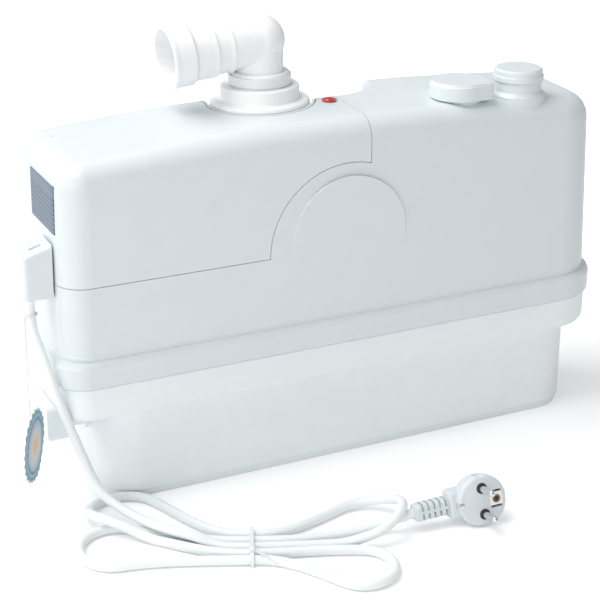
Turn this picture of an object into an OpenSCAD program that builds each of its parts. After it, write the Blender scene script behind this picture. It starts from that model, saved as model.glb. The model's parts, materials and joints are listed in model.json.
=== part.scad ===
// Slim sewage lifting unit that stands behind a toilet.
// A step-sided tank carries a belted housing with a lift-off service cover, a capped
// inlet on top, a capped side inlet, a rear sleeve for the toilet and a swivel discharge elbow.
// Frame: X along the unit, front is -Y, Z up, origin on the floor under the middle of the belt.

/* [Tank] */
// Length of the tank's foot part
tank_l = 399; // [380:1:410]
// Depth of the tank's foot part
tank_w = 97; // [90:1:102]
// How far the foot part stands back from the shoulder at the cable end
foot_back = 29.5; // [26:0.5:33]
// Height of the foot part under the shoulder
tank_h = 72.5; // [68:0.5:76]
// Length of the tank's shoulder
shoulder_l = 445; // [440:1:447]
// Depth of the tank's shoulder
shoulder_w = 116; // [113:1:117]
// Height of the seam between shoulder and belt
seam_h = 98; // [95:0.5:101]
// Wall of all moulded shells
wall = 3; // [2.5:0.1:3.5]

/* [Housing] */
// Length of the belt
belt_l = 450; // [449:1:456]
// Depth of the belt
belt_w = 120; // [119:1:124]
// Height of the belt's upper edge
belt_h = 118; // [115:0.5:120]
// Length of the housing wall at its foot
body_l = 440; // [436:1:443]
// Depth of the housing wall at its foot
body_w = 112; // [110:1:114]
// How much the wall leans in on each side up to the roof
body_lean = 3; // [2:0.5:4]
// Height of the roof at the middle
roof_h = 266.5; // [262:0.5:272]
// Radius of the roof's rounded edge
roof_r = 16; // [12:1:18]
// Drop of the roof from the middle to an end
roof_crown = 10.5; // [8:0.5:12]
// Radius of the upright corners
corner_r = 38; // [34:1:42]
// Corner radius of the square end, where the cable box is
end_corner_r = 20; // [19:0.5:24]

/* [Service cover] */
// Height of the cover's lower edge
cover_h = 172; // [168:1:176]
// Place of the cover's right edge along the unit
cover_x = 13.5; // [10:0.5:16]
// Radius of the arc that goes round the inlet disc
cover_arc_r = 64; // [60:1:68]
// Gap of the cover's seam
seam_gap = 0.8; // [0.6:0.1:1]

/* [Toilet inlet] */
// Height of the toilet inlet's axis over the floor
wc_h = 180; // [178:0.5:184]
// Place of the toilet inlet along the unit
wc_x = -3; // [-6:0.5:0]
// Radius of the toilet pipe that the sleeve takes
wc_pipe_r = 50; // [45:0.5:52]
// Radius of the raised disc on the front
disc_r = 45; // [40:0.5:48]

/* [Discharge] */
// Place of the riser along the unit
riser_x = -40; // [-44:0.5:-36]
// Place of the riser front to back
riser_y = 22; // [20:0.5:24]
// Outer radius of the elbow's pipe
elbow_r = 17.5; // [16.5:0.25:18]
// Wall of the elbow
elbow_wall = 2.4; // [2:0.1:2.8]
// Radius of the discharge pipe that the mouth takes
mouth_pipe_r = 20; // [19:0.25:20.5]
// Height of the elbow's axis
elbow_h = 311; // [306:0.5:316]
// Distance from the riser to the mouth
elbow_reach = 73; // [68:0.5:78]
// Droop of the elbow's barrel in degrees
elbow_droop = 5; // [0:0.5:8]

/* [Top inlets] */
// Place of the capped inlet along the unit
inlet_x = 151; // [148:0.5:156]
// Place of the capped inlet front to back
inlet_y = -28; // [-32:0.5:-26]
// Inner radius of the capped inlet
inlet_r = 14; // [12:0.25:15]
// Place of the vent along the unit
vent_x = 101; // [98:0.5:104]
// Place of the vent front to back
vent_y = -25; // [-28:0.5:-22]
// Radius of the vent cap
vent_r = 22; // [20:0.5:24]

/* [Side inlet] */
// Height of the side inlet's axis
side_h = 57; // [54:0.5:58]
// Inner radius of the side inlet
side_r = 9; // [8:0.25:10]
// Width of the side cap
side_cap_w = 38; // [36:0.5:40]
// Height of the side cap
side_cap_h = 29; // [27:0.5:30]

/* [Motor and pump] */
// Distance from the foot's cable end to the motor's axis
motor_in = 63; // [60:1:67]
// Outer radius of the motor's can
motor_r = 37; // [34:0.5:38]
// Height of the motor's can
motor_len = 84; // [78:1:86]
// Radius of the shaft
shaft_r = 5; // [4:0.5:6]
// Radius of the impeller
impeller_r = 28; // [25:0.5:29]
// Number of impeller vanes
vane_n = 6; // [4:1:8]
// Radius of the cutting basket
basket_r = 38; // [36:0.5:39]
// Number of slots in the cutting basket
slot_n = 12; // [8:1:16]

/* [Mains lead] */
// Diameter of the mains lead
cord_d = 7; // [6.5:0.25:7.5]
// Radius of the plug's face
plug_r = 18.5; // [18:0.25:19]

/* [Hidden] */

// Smoothness of round parts, and of small round parts
$fn = 64;
small_fn = 32;
// One overrun for all cuts, and the standard gaps
over = 1;
fit_gap = 0.3;
run_gap = 0.05;
moving_gap = 0.4;
// One small step between the rings of a loft
ring_step = 0.1;
// Steps of a lofted corner, and pieces of a lofted long side
corner_steps = 8;
side_parts = 8;

// Sizes worked out from the ones above
end_in = corner_r - end_corner_r;
inner_r = corner_r - wall;
lean_top = roof_h - roof_r;
roof_l = body_l - 2 * body_lean;
roof_w = body_w - 2 * body_lean;
seal_h = 0.6;
tank_top = seam_h - seal_h / 2;
belt_foot = seam_h + seal_h / 2;
foot_r = 30;
foot_edge = 4;
shoulder_edge = 5;
floor_t = 4;
belt_edge = 1.5;
belt_round = 4;
belt_corner_out = 2;
belt_corner = corner_r + belt_corner_out;
body_foot = 1;
foot_rise = 4;
wall_foot = belt_h + foot_rise;
ledge_w = 3;
ledge_in = wall + ledge_w;
deck_up = 3;
deck_z = belt_h + deck_up;
deck_t = 4;
tank_shift = foot_back + (tank_l - shoulder_l) / 2;
side_x = tank_shift - tank_l / 2;
motor_x = side_x + motor_in;
round_steps = 5;
roof_fall = 3;
lean_deg = atan(body_lean / (lean_top - wall_foot));

// Rounded rectangle as a ring of points, with its long sides in several pieces
function ring(l, w, r, z, cx = 0, left_in = end_in) = let (rl = max(r - left_in, ring_step)) [
    for (q = [0:3])
        let (sx = (q == 0 || q == 3) ? 1 : -1, sy = (q < 2) ? 1 : -1, rq = sx > 0 ? r : rl,
            xr = cx + l / 2 - r, xl = cx - l / 2 + rl)
        each concat(
            [for (k = [0:corner_steps]) let (a = 90 * q + 90 * k / corner_steps)
                [(sx > 0 ? xr : xl) + rq * cos(a), sy * (w / 2 - rq) + rq * sin(a), z]],
            q % 2 == 0 ? [for (k = [1:side_parts - 1])
                [(xr + xl) / 2 + sx * (xr - xl) / 2 * (1 - 2 * k / side_parts), sy * w / 2, z]] : [])
];

// Lowers a ring's points towards the ends, as the crowned roof does
function crowned(points) = [
    for (p = points) [p[0], p[1], p[2] - roof_crown * pow(2 * p[0] / roof_l, 2)
        + roof_fall * p[1] / roof_w]
];

// Skin of triangles round a stack of rings of equal count
module loft(rings) {
    n = len(rings[0]);
    m = len(rings);
    polyhedron(
        points = [for (r = rings) each r],
        faces = concat(
            [[for (i = [0:n - 1]) i]],
            [for (j = [0:m - 2], i = [0:n - 1]) each [
                [j * n + i, (j + 1) * n + i, (j + 1) * n + (i + 1) % n],
                [j * n + i, (j + 1) * n + (i + 1) % n, j * n + (i + 1) % n]]],
            [for (i = [1:n / 2 - 1]) each [
                [(m - 1) * n + i, (m - 1) * n + i - 1, (m - 1) * n + roof_mate(i - 1, n)],
                [(m - 1) * n + i, (m - 1) * n + roof_mate(i - 1, n), (m - 1) * n + roof_mate(i, n)]]]
        ));
}
// Point across the ring from point i, so that the last ring closes in strips from back to front
function roof_mate(i, n) = n - 1 - i;

// Stack of rings of the housing's outer skin, or of a skin set in by some thickness
function skin(inset, low_z, with_belt) = concat(
    with_belt ? [
        ring(belt_l - 2 * belt_edge, belt_w - 2 * belt_edge, belt_corner - belt_edge, low_z),
        ring(belt_l, belt_w, belt_corner, low_z + belt_edge),
        ring(belt_l, belt_w, belt_corner, belt_h - belt_round),
        ring(belt_l - belt_round / 2, belt_w - belt_round / 2, belt_corner, belt_h - belt_round / 3),
        ring(belt_l - 2 * belt_round, belt_w - 2 * belt_round, belt_corner, belt_h),
        ring(body_l + body_foot, body_w + body_foot, corner_r, wall_foot - body_foot)
    ] : [
        ring(body_l - 2 * ledge_in, body_w - 2 * ledge_in, corner_r - ledge_in, low_z),
        ring(body_l - 2 * ledge_in, body_w - 2 * ledge_in, corner_r - ledge_in, deck_z - ring_step),
        ring(body_l - 2 * inset, body_w - 2 * inset, corner_r - inset, deck_z)
    ],
    with_belt ? [ring(body_l, body_w, corner_r, wall_foot)] : [],
    [for (k = [0:round_steps])
        let (a = 90 * k / round_steps, in = inset + (roof_r - inset) * (1 - cos(a)))
        crowned(ring(roof_l - 2 * in, roof_w - 2 * in, corner_r - in,
            roof_h - roof_r + (roof_r - inset) * sin(a)))]
);

module outer_skin() { loft(skin(0, belt_foot, true)); }
module inner_skin() { loft(skin(wall, belt_foot - over, false)); }

// Exact plate with rounded corners, the left ones rounded less by left_in
module plate(l, w, r, h, left_in = 0) {
    rl = max(r - left_in, ring_step);
    linear_extrude(h) union() {
        translate([-l / 2 + rl, -w / 2]) square([l - rl - r, w]);
        translate([-l / 2, -w / 2 + rl]) square([l / 2, w - 2 * rl]);
        translate([0, -w / 2 + r]) square([l / 2, w - 2 * r]);
        for (sy = [-1, 1]) {
            translate([l / 2 - r, sy * (w / 2 - r)]) circle(r);
            translate([-l / 2 + rl, sy * (w / 2 - rl)]) circle(rl);
        }
    }
}

// Ring round the Z axis
module ring_z(r_out, r_in, h) {
    difference() {
        cylinder(r = r_out, h = h);
        translate([0, 0, -over]) cylinder(r = r_in, h = h + 2 * over);
    }
}

// Tank
rim_h = 5;
rim_in = 2;
soft_edge_share = 0.3;
shoulder_out = 0.5;
shoulder_corner = corner_r + shoulder_out;
side_stub_r = 12;
module tank() {
    color("white") difference() {
        loft([
            ring(tank_l - 2 * rim_in, tank_w - 2 * rim_in, foot_r - rim_in, 0, tank_shift, 0),
            ring(tank_l - 2 * rim_in, tank_w - 2 * rim_in, foot_r - rim_in, rim_h, tank_shift, 0),
            ring(tank_l, tank_w, foot_r, rim_h + rim_in / 2, tank_shift, 0),
            ring(tank_l, tank_w, foot_r, tank_h, tank_shift, 0),
            ring(shoulder_l - 2 * shoulder_edge, shoulder_w - 2 * shoulder_edge,
                shoulder_corner - shoulder_edge, tank_h + ring_step),
            ring(shoulder_l - 2 * shoulder_edge * soft_edge_share,
                shoulder_w - 2 * shoulder_edge * soft_edge_share,
                shoulder_corner - shoulder_edge * soft_edge_share,
                tank_h + shoulder_edge * soft_edge_share),
            ring(shoulder_l, shoulder_w, shoulder_corner, tank_h + shoulder_edge),
            ring(shoulder_l, shoulder_w, shoulder_corner, tank_top)
        ]);
        loft([
            ring(tank_l - 2 * wall, tank_w - 2 * wall, foot_r - wall, floor_t, tank_shift, 0),
            ring(tank_l - 2 * wall, tank_w - 2 * wall, foot_r - wall, tank_h + wall, tank_shift, 0),
            ring(shoulder_l - 2 * shoulder_edge, shoulder_w - 2 * shoulder_edge,
                shoulder_corner - shoulder_edge, tank_h + wall + ring_step),
            ring(shoulder_l - 2 * wall, shoulder_w - 2 * wall, shoulder_corner - wall,
                tank_h + shoulder_edge + wall),
            ring(shoulder_l - 2 * wall, shoulder_w - 2 * wall, shoulder_corner - wall, tank_top + over)
        ]);
        translate([side_x - over, 0, side_h]) rotate([0, 90, 0])
            cylinder(r = side_stub_r, h = wall + 2 * over);
    }
}

seal_w = 2.4;
module tank_gasket() {
    color("black") translate([0, 0, tank_top]) difference() {
        plate(shoulder_l - over, shoulder_w - over, corner_r, seal_h, end_in);
        translate([0, 0, -over]) plate(shoulder_l - over - 2 * seal_w, shoulder_w - over - 2 * seal_w,
            corner_r - seal_w, seal_h + 2 * over, end_in);
    }
}

// Recess behind the roof, in which the discharge stands
recess_x0 = -79;
recess_x1 = 62;
recess_z = 245;
lip_y = 6;
recess_rl = 18;
recess_rr = 44;
tub_wall = 2;
pocket_r = 38.5;
module recess_plan(t) {
    x0 = recess_x0 + t;
    x1 = recess_x1 - t;
    y0 = lip_y + t;
    rl = recess_rl - t;
    rr = recess_rr - t;
    union() {
        translate([x0 + rl, y0]) square([x1 - x0 - rl - rr, belt_w]);
        translate([x0, y0 + rl]) square([rl + over, belt_w]);
        translate([x1 - rr - over, y0 + rr]) square([rr + over, belt_w]);
        translate([x0 + rl, y0 + rl]) circle(rl);
        translate([x1 - rr, y0 + rr]) circle(rr);
        translate([riser_x, riser_y]) circle(pocket_r + tub_wall - t);
    }
}

// Space that the service cover takes, grown by some gap
arc_z = 171;
module cover_zone(g) {
    difference() {
        translate([-belt_l, -belt_w, cover_h - g]) cube([belt_l + cover_x + g, 2 * belt_w, belt_l]);
        translate([wc_x, -belt_w, arc_z]) rotate([-90, 0, 0]) cylinder(r = cover_arc_r - g, h = belt_w);
        translate([0, 0, cover_h - belt_w]) linear_extrude(2 * belt_l) recess_plan(g - seam_gap);
    }
}

// Fixed housing
bulk_x = -68;
inner_front_y = -46;
double_z = 162;
close_x = 16.5;
skin_t = 3;
riser_hole = 24.4;
wc_hole = wc_pipe_r + 4;
disc_t = 0.8;
seat_in = 16;
inlet_seat_r = 21;
stub_wall = 3.75;
inlet_out = inlet_r + stub_wall;
vent_hole = 16;
vent_land = 264.6;
inlet_land = 262.5;
deck_boss_r = 5;
deck_boss_h = 16;
deck_boss_y = 47.5;
boss_end_in = 42;
boss_motor_out = 24;
deck_boss_x = [-body_l / 2 + boss_end_in, motor_x + boss_motor_out];
screw_r = 1.8;
rim_t = 2;
rim_up = 5;
lean_share = (cover_h - wall_foot) / (lean_top - wall_foot);
rim_l = body_l - 2 * (wall + moving_gap + body_lean * lean_share);
rim_w = body_w - 2 * (wall + moving_gap + body_lean * lean_share);
module upper_housing() {
    color("white") difference() {
        union() {
            difference() {
                outer_skin();
                inner_skin();
                cover_zone(seam_gap);
                translate([0, 0, recess_z]) linear_extrude(belt_l) recess_plan(tub_wall);
            }
            intersection() {
                outer_skin();
                difference() {
                    union() {
                        translate([0, 0, recess_z - skin_t]) linear_extrude(belt_l) recess_plan(0);
                        translate([bulk_x, inner_front_y, deck_z + over / 2])
                            cube([skin_t, belt_w, recess_z - deck_z - skin_t]);
                        translate([bulk_x, -belt_w, deck_z + over / 2])
                            cube([skin_t, belt_w, double_z + skin_t - deck_z - over / 2]);
                        translate([bulk_x, inner_front_y, double_z])
                            cube([close_x + skin_t - bulk_x, skin_t, recess_z - double_z]);
                        translate([bulk_x, -belt_w, double_z])
                            cube([close_x + skin_t - bulk_x, belt_w + inner_front_y + over, skin_t]);
                        translate([close_x, -belt_w, double_z])
                            cube([skin_t, belt_w + lip_y + tub_wall, belt_l]);
                        translate([bulk_x, inner_front_y, recess_z - skin_t])
                            cube([close_x + skin_t - bulk_x, lip_y + tub_wall - inner_front_y, skin_t]);
                    }
                    translate([0, 0, recess_z]) linear_extrude(belt_l) recess_plan(tub_wall);
                    // The space over the toilet chamber, left of the closing wall, is open to the cover
                    translate([close_x, inner_front_y + skin_t, deck_z])
                        cube([2 * skin_t, -inner_front_y, recess_z - skin_t - deck_z]);
                }
            }
            // Locating rim inside the cover's lower edge
            intersection() {
                translate([0, 0, cover_h - rim_up - over]) difference() {
                    union() {
                        plate(rim_l, rim_w, inner_r, 2 * rim_up + over, end_in);
                        plate(rim_l + wall, rim_w + wall, inner_r, rim_up, end_in);
                    }
                    translate([0, 0, -over]) plate(rim_l - 2 * rim_t, rim_w - 2 * rim_t, inner_r - rim_t,
                        2 * rim_up + 4 * over, end_in);
                }
                translate([-belt_l, -belt_w, 0]) cube([belt_l + recess_x0 - 2 * skin_t, 2 * belt_w, belt_l]);
            }
            for (x = deck_boss_x, s = [-1, 1]) translate([x, s * deck_boss_y, deck_z - deck_boss_h])
                cylinder(r = deck_boss_r, h = deck_boss_h);
            translate([wc_x, -body_w / 2 + tan(lean_deg) * (wc_h - wall_foot), wc_h])
                rotate([90 + lean_deg, 0, 0]) translate([0, 0, -wall / 2])
                    cylinder(r = disc_r, h = wall / 2 + disc_t);
            translate([vent_x, vent_y, vent_land - seat_in]) cylinder(r = vent_r - 1.5 * wall, h = seat_in);
            translate([inlet_x, inlet_y, inlet_land - seat_in]) cylinder(r = inlet_seat_r, h = seat_in);
        }
        translate([riser_x, riser_y, recess_z - 2 * skin_t]) cylinder(r = riser_hole, h = 3 * skin_t);
        translate([wc_x, 0, wc_h]) rotate([-90, 0, 0]) cylinder(r = wc_hole, h = belt_w);
        translate([vent_x, vent_y, vent_land - seat_in - over])
            cylinder(r = vent_hole, h = seat_in + 2 * over);
        translate([inlet_x, inlet_y, inlet_land - seat_in - over])
            cylinder(r = inlet_out, h = seat_in + 2 * over);
        for (x = deck_boss_x, s = [-1, 1]) translate([x, s * deck_boss_y, deck_z - deck_boss_h + over])
            cylinder(r = screw_r, h = deck_boss_h, $fn = small_fn);
    }
}

// Service cover and what it carries
lens_x = 5;
lens_y = -2;
lens_r = 5.5;
lens_pin_r = 4;
module service_cover() {
    color("white") difference() {
        intersection() {
            difference() {
                outer_skin();
                inner_skin();
            }
            cover_zone(0);
        }
        translate([lens_x, lens_y, recess_z]) cylinder(r = lens_pin_r, h = belt_w, $fn = small_fn);
    }
}

lens_seat = 0.1;
lens_z = roof_h + lens_seat;
lens_up = 2.6;
lens_dome = 7.2;
module pilot_lens() {
    color("red") translate([lens_x, lens_y, lens_z]) union() {
        translate([0, 0, -2 * wall]) cylinder(r = lens_pin_r, h = 2 * wall + over, $fn = small_fn);
        cylinder(r = lens_r, h = over);
        intersection() {
            translate([0, 0, lens_up - lens_dome]) sphere(r = lens_dome);
            cylinder(r = lens_r, h = lens_up + over);
        }
    }
}

plate_t = 0.6;
plate_z = 207.5;
plate_h = 34;
plate_y0 = -38;
plate_y1 = 14;
module rating_plate() {
    color("lightblue") intersection() {
        difference() {
            loft(skin(-plate_t, belt_foot, true));
            outer_skin();
        }
        translate([-belt_l, plate_y0, plate_z]) cube([belt_l - body_w, plate_y1 - plate_y0, plate_h]);
    }
}

// Carrier plate that closes the motor bay from the tank, with the chute that feeds the basket
deck_gap = 0.4;
deck_shaft_r = 9;
chute_w = 52;
chute_y = -18;
chute_x0 = -98;
chute_x1 = 44;
chute_z = 93;
chute_deg = 7;
chute_h = 20;
chute_t = 2.5;
switch_x = -84;
switch_y = 36;
tube_r = 7;
module motor_deck() {
    color("lightgray") difference() {
        union() {
            intersection() {
                translate([0, 0, deck_z]) plate(body_l - 2 * (wall + deck_gap + body_lean / 4),
                    body_w - 2 * (wall + deck_gap + body_lean / 4), inner_r, deck_t, end_in);
                translate([-belt_l, -belt_w, 0])
                    cube([belt_l + bulk_x - fit_gap, 2 * belt_w, belt_l]);
            }
            translate([motor_x, 0, deck_z - deck_t]) ring_z(motor_r, 2 * deck_shaft_r, deck_t);
            translate([chute_x0, chute_y - chute_w / 2, chute_z]) rotate([0, -chute_deg, 0]) difference() {
                cube([(chute_x1 - chute_x0), chute_w, chute_h]);
                translate([-over, chute_t, chute_t])
                    cube([chute_x1 - chute_x0 + 2 * over, chute_w - 2 * chute_t, chute_h]);
            }
            translate([chute_x0 + chute_t, chute_y - chute_w / 2, chute_z + chute_t])
                cube([-chute_x0 + bulk_x - 2 * chute_t, chute_t, deck_z - chute_z]);
        }
        translate([motor_x, 0, deck_z - over]) cylinder(r = deck_shaft_r, h = deck_t + 2 * over);
        translate([switch_x, switch_y, deck_z - over]) cylinder(r = tube_r, h = deck_t + 2 * over);
        for (x = deck_boss_x, s = [-1, 1]) translate([x, s * deck_boss_y, deck_z - over])
            cylinder(r = screw_r + fit_gap, h = deck_t + 2 * over, $fn = small_fn);
    }
}

screw_head_r = 3.4;
screw_head_h = 2.2;
screw_len = 14;
module housing_screws() {
    color("silver") for (x = deck_boss_x, s = [-1, 1])
        translate([x, s * deck_boss_y, deck_z + deck_t]) difference() {
            union() {
                cylinder(r = screw_head_r, h = screw_head_h, $fn = small_fn);
                translate([0, 0, -screw_len]) cylinder(r = screw_r, h = screw_len, $fn = small_fn);
            }
            translate([0, 0, screw_head_h / 2]) cylinder(r = screw_r, h = screw_head_h, $fn = 6);
        }
}

// Discharge: stepped rubber sleeve, clamp, elbow, non-return valve and riser
boot_r = 37;
boot_h1 = 24;
boot_r2 = 29;
boot_h2 = 34;
boot_neck_r = 21.6;
boot_top = 289;
boot_edge = 3;
valve_r = 24;
valve_flange_r = 30;
valve_flange_h = 3;
valve_top = 262.5;
sleeve_step = 263;
module discharge_boot() {
    color("white") translate([riser_x, riser_y, 0]) rotate_extrude() polygon([
        [valve_flange_r, recess_z], [boot_r, recess_z], [boot_r, recess_z + boot_h1 - boot_edge],
        [boot_r - boot_edge * soft_edge_share, recess_z + boot_h1 - boot_edge * soft_edge_share],
        [boot_r - boot_edge, recess_z + boot_h1], [boot_r2, recess_z + boot_h1],
        [boot_r2, recess_z + boot_h2 - boot_edge * soft_edge_share],
        [boot_r2 - boot_edge * soft_edge_share, recess_z + boot_h2],
        [boot_neck_r, recess_z + boot_h2], [boot_neck_r, boot_top - over], [boot_neck_r - over, boot_top],
        [elbow_r + run_gap, boot_top], [elbow_r + run_gap, sleeve_step], [valve_r, sleeve_step],
        [valve_r, recess_z + valve_flange_h], [valve_flange_r, recess_z + valve_flange_h]
    ]);
}

clamp_t = 1.5;
clamp_w = 7;
clamp_up = 1;
clamp_z = recess_z + boot_h2 + clamp_up;
lug_l = 6;
module boot_clamp() {
    color("white") translate([riser_x, riser_y, clamp_z]) union() {
        ring_z(boot_neck_r + clamp_t, boot_neck_r, clamp_w);
        translate([-lug_l / 2, boot_neck_r + clamp_t / 2, 0]) cube([lug_l, lug_l, clamp_w]);
    }
}

elbow_foot = 264;
barrel_r = 18.3;
ridge_r = 19.6;
ridge_w = 2;
step_x = [26, 39, 55];
step_r = [18.8, 20.2, 22.4];
lip_r = 23;
lip_w = 3;
mouth_deep = 16;
knuckle = 0.4;
module discharge_elbow() {
    color("white") difference() {
        union() {
            translate([riser_x, riser_y, elbow_foot]) cylinder(r = elbow_r, h = elbow_h - elbow_foot);
            translate([riser_x, riser_y, elbow_h]) sphere(r = barrel_r + knuckle);
            translate([riser_x, riser_y, elbow_h]) rotate([0, -90 - elbow_droop, 0]) {
                cylinder(r = barrel_r, h = step_x[0]);
                translate([0, 0, step_x[0]]) cylinder(r1 = ridge_r, r2 = step_r[0], h = 2 * ridge_w);
                translate([0, 0, step_x[0]]) cylinder(r = step_r[0], h = step_x[1] - step_x[0]);
                translate([0, 0, step_x[1]]) cylinder(r1 = ridge_r + over, r2 = step_r[1], h = 2 * ridge_w);
                translate([0, 0, step_x[1]]) cylinder(r = step_r[1], h = step_x[2] - step_x[1]);
                translate([0, 0, step_x[2]]) cylinder(r1 = step_r[1], r2 = step_r[2], h = ridge_w);
                translate([0, 0, step_x[2] + ridge_w])
                    cylinder(r = step_r[2], h = elbow_reach - step_x[2] - ridge_w);
                translate([0, 0, elbow_reach - lip_w]) cylinder(r = lip_r, h = lip_w);
            }
        }
        translate([riser_x, riser_y, elbow_foot - over])
            cylinder(r = elbow_r - elbow_wall, h = elbow_h - elbow_foot + over);
        translate([riser_x, riser_y, elbow_h]) sphere(r = elbow_r - elbow_wall + knuckle);
        translate([riser_x, riser_y, elbow_h]) rotate([0, -90 - elbow_droop, 0]) {
            cylinder(r = elbow_r - elbow_wall, h = elbow_reach);
            translate([0, 0, elbow_reach - mouth_deep])
                cylinder(r = mouth_pipe_r + moving_gap / 2, h = mouth_deep + over);
        }
    }
}

valve_foot = 205;
valve_in = 21;
valve_seat_z = 227;
pipe_r = 12;
pipe_wall = 2;
flap_r = 14.5;
flap_t = 2;
hinge_off = 17;
hinge_z = 231;
hinge_r = 2.4;
pin_r = 1.2;
pin_len = 29;
module valve_body() {
    color("lightgray") translate([riser_x, riser_y, 0]) difference() {
        union() {
            translate([0, 0, valve_foot]) cylinder(r = pipe_r + 2 * pipe_wall, h = valve_seat_z - valve_foot);
            translate([0, 0, valve_seat_z - 2 * flap_t])
                cylinder(r = valve_r, h = valve_top - valve_seat_z + 2 * flap_t);
            translate([0, 0, recess_z]) cylinder(r = valve_flange_r, h = valve_flange_h);
        }
        translate([0, 0, valve_foot - over]) cylinder(r = pipe_r, h = pipe_r + over);
        translate([0, 0, valve_foot - over]) cylinder(r = pipe_r - pipe_wall, h = valve_top);
        translate([0, 0, valve_seat_z]) cylinder(r = valve_in, h = valve_top);
        translate([hinge_off, pin_len / 2, hinge_z]) rotate([90, 0, 0])
            cylinder(r = pin_r, h = pin_len, $fn = small_fn);
    }
}

module valve_pin() {
    color("silver") translate([riser_x + hinge_off, riser_y + pin_len / 2, hinge_z]) rotate([90, 0, 0])
        cylinder(r = pin_r, h = pin_len, $fn = small_fn);
}

flap_gap = 0.4;
flap_arm_w = 9;
module valve_flap() {
    color("dimgray") translate([riser_x, riser_y, 0]) difference() {
        union() {
            translate([0, 0, valve_seat_z + flap_gap]) cylinder(r = flap_r, h = flap_t);
            translate([0, -flap_arm_w / 2, valve_seat_z + flap_gap]) cube([hinge_off, flap_arm_w, flap_t]);
            translate([hinge_off, flap_arm_w / 2, hinge_z]) rotate([90, 0, 0])
                cylinder(r = hinge_r, h = flap_arm_w, $fn = small_fn);
        }
        translate([hinge_off, flap_arm_w, hinge_z]) rotate([90, 0, 0])
            cylinder(r = pin_r + run_gap, h = 2 * flap_arm_w, $fn = small_fn);
    }
}

volute_z = 8;
volute_h = 24;
outlet_z = volute_z + volute_h / 2;
outlet_r = 10;
socket_out = 14;
socket_x = motor_x + impeller_r + socket_out;
module riser_pipe() {
    color("lightgray") difference() {
        union() {
            translate([riser_x, riser_y, outlet_z]) cylinder(r = pipe_r, h = valve_foot + pipe_r - outlet_z);
            translate([riser_x, riser_y, outlet_z]) sphere(r = pipe_r);
            translate([socket_x, riser_y, outlet_z]) rotate([0, 90, 0])
                cylinder(r = pipe_r, h = riser_x - socket_x);
        }
        translate([riser_x, riser_y, outlet_z]) cylinder(r = pipe_r - pipe_wall, h = belt_l);
        translate([riser_x, riser_y, outlet_z]) sphere(r = pipe_r - pipe_wall);
        translate([socket_x - over, riser_y, outlet_z]) rotate([0, 90, 0])
            cylinder(r = pipe_r - pipe_wall, h = riser_x - socket_x + over);
    }
}

// Vent and capped inlet on the roof
filter_h = 12;
vent_cup_t = 1.5;
vent_lip = 2;
module vent_filter() {
    color("black") translate([vent_x, vent_y, vent_land - seat_in]) difference() {
        union() {
            cylinder(r = vent_hole, h = filter_h);
        }
        translate([0, 0, filter_h - vent_lip]) cylinder(r = vent_hole - 2 * vent_lip, h = filter_h);
    }
}

vent_cap_h = 12.5;
vent_step = 1.5;
vent_corner = 26;
vent_corner_deg = -48;
vent_tangent_deg = 50;
module vent_plan(in) {
    union() {
        circle(vent_r - in);
        rotate(vent_corner_deg) polygon([
            [(vent_r - in) * cos(vent_tangent_deg), (vent_r - in) * sin(vent_tangent_deg)],
            [(vent_r - in) * cos(vent_tangent_deg), -(vent_r - in) * sin(vent_tangent_deg)],
            [vent_corner + over - in, -1.5 * over],
            [vent_corner + over - in, 1.5 * over]
        ]);
    }
}
module vent_cap() {
    color("white") translate([vent_x, vent_y, vent_land + fit_gap]) difference() {
        union() {
            linear_extrude(vent_cap_h - vent_step) vent_plan(0);
            linear_extrude(vent_cap_h) vent_plan(vent_step);
        }
        translate([0, 0, -over]) cylinder(r = vent_hole - 2 * wall, h = vent_cap_h - wall + over);
    }
}

collar_top = 273;
neck_wall = 2.2;
cap_skirt_r = 19.2;
cap_lid_r = 18.3;
cap_skirt_h = 4;
cap_h = 9;
cap_top_t = 3;
stub_top = collar_top + cap_h - cap_top_t;
module inlet_stub() {
    color("white") translate([inlet_x, inlet_y, 0]) difference() {
        union() {
            translate([0, 0, inlet_land - seat_in - 2 * wall])
                cylinder(r = inlet_out, h = collar_top - inlet_land + seat_in + 2 * wall);
            translate([0, 0, inlet_land]) cylinder(r1 = inlet_seat_r, r2 = inlet_out, h = wall);
            translate([0, 0, inlet_land]) cylinder(r = inlet_r + neck_wall, h = stub_top - inlet_land);
        }
        translate([0, 0, inlet_land - seat_in - 3 * wall]) cylinder(r = inlet_r, h = belt_w);
    }
}

module inlet_cap() {
    color("white") translate([inlet_x, inlet_y, collar_top + fit_gap]) difference() {
        union() {
            cylinder(r = cap_skirt_r, h = cap_skirt_h);
            cylinder(r = cap_lid_r, h = cap_h - over);
            cylinder(r = cap_lid_r - over, h = cap_h);
        }
        translate([0, 0, -over])
            cylinder(r = inlet_r + neck_wall + run_gap, h = cap_h - cap_top_t + over);
    }
}

// Toilet sleeve at the rear
sleeve_y0 = 46;
sleeve_y1 = 78;
sleeve_collar = 57;
sleeve_collar_w = 6;
wc_clamp_y = 67;
module wc_sleeve() {
    color("gray") translate([wc_x, 0, wc_h]) rotate([-90, 0, 0]) difference() {
        union() {
            translate([0, 0, sleeve_y0]) cylinder(r = wc_hole, h = sleeve_y1 - sleeve_y0);
            translate([0, 0, sleeve_collar]) cylinder(r = wc_hole + wall + over, h = sleeve_collar_w);
        }
        translate([0, 0, sleeve_y0 - over]) cylinder(r = wc_pipe_r, h = sleeve_y1 - sleeve_y0 + 2 * over);
    }
}

module wc_clamp() {
    color("silver") translate([wc_x, wc_clamp_y, wc_h]) rotate([-90, 0, 0]) union() {
        ring_z(wc_hole + clamp_t, wc_hole, clamp_w + over);
        translate([-lug_l / 2, -wc_hole - clamp_t / 2 - lug_l, 0]) cube([lug_l, lug_l, clamp_w]);
    }
}

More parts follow.
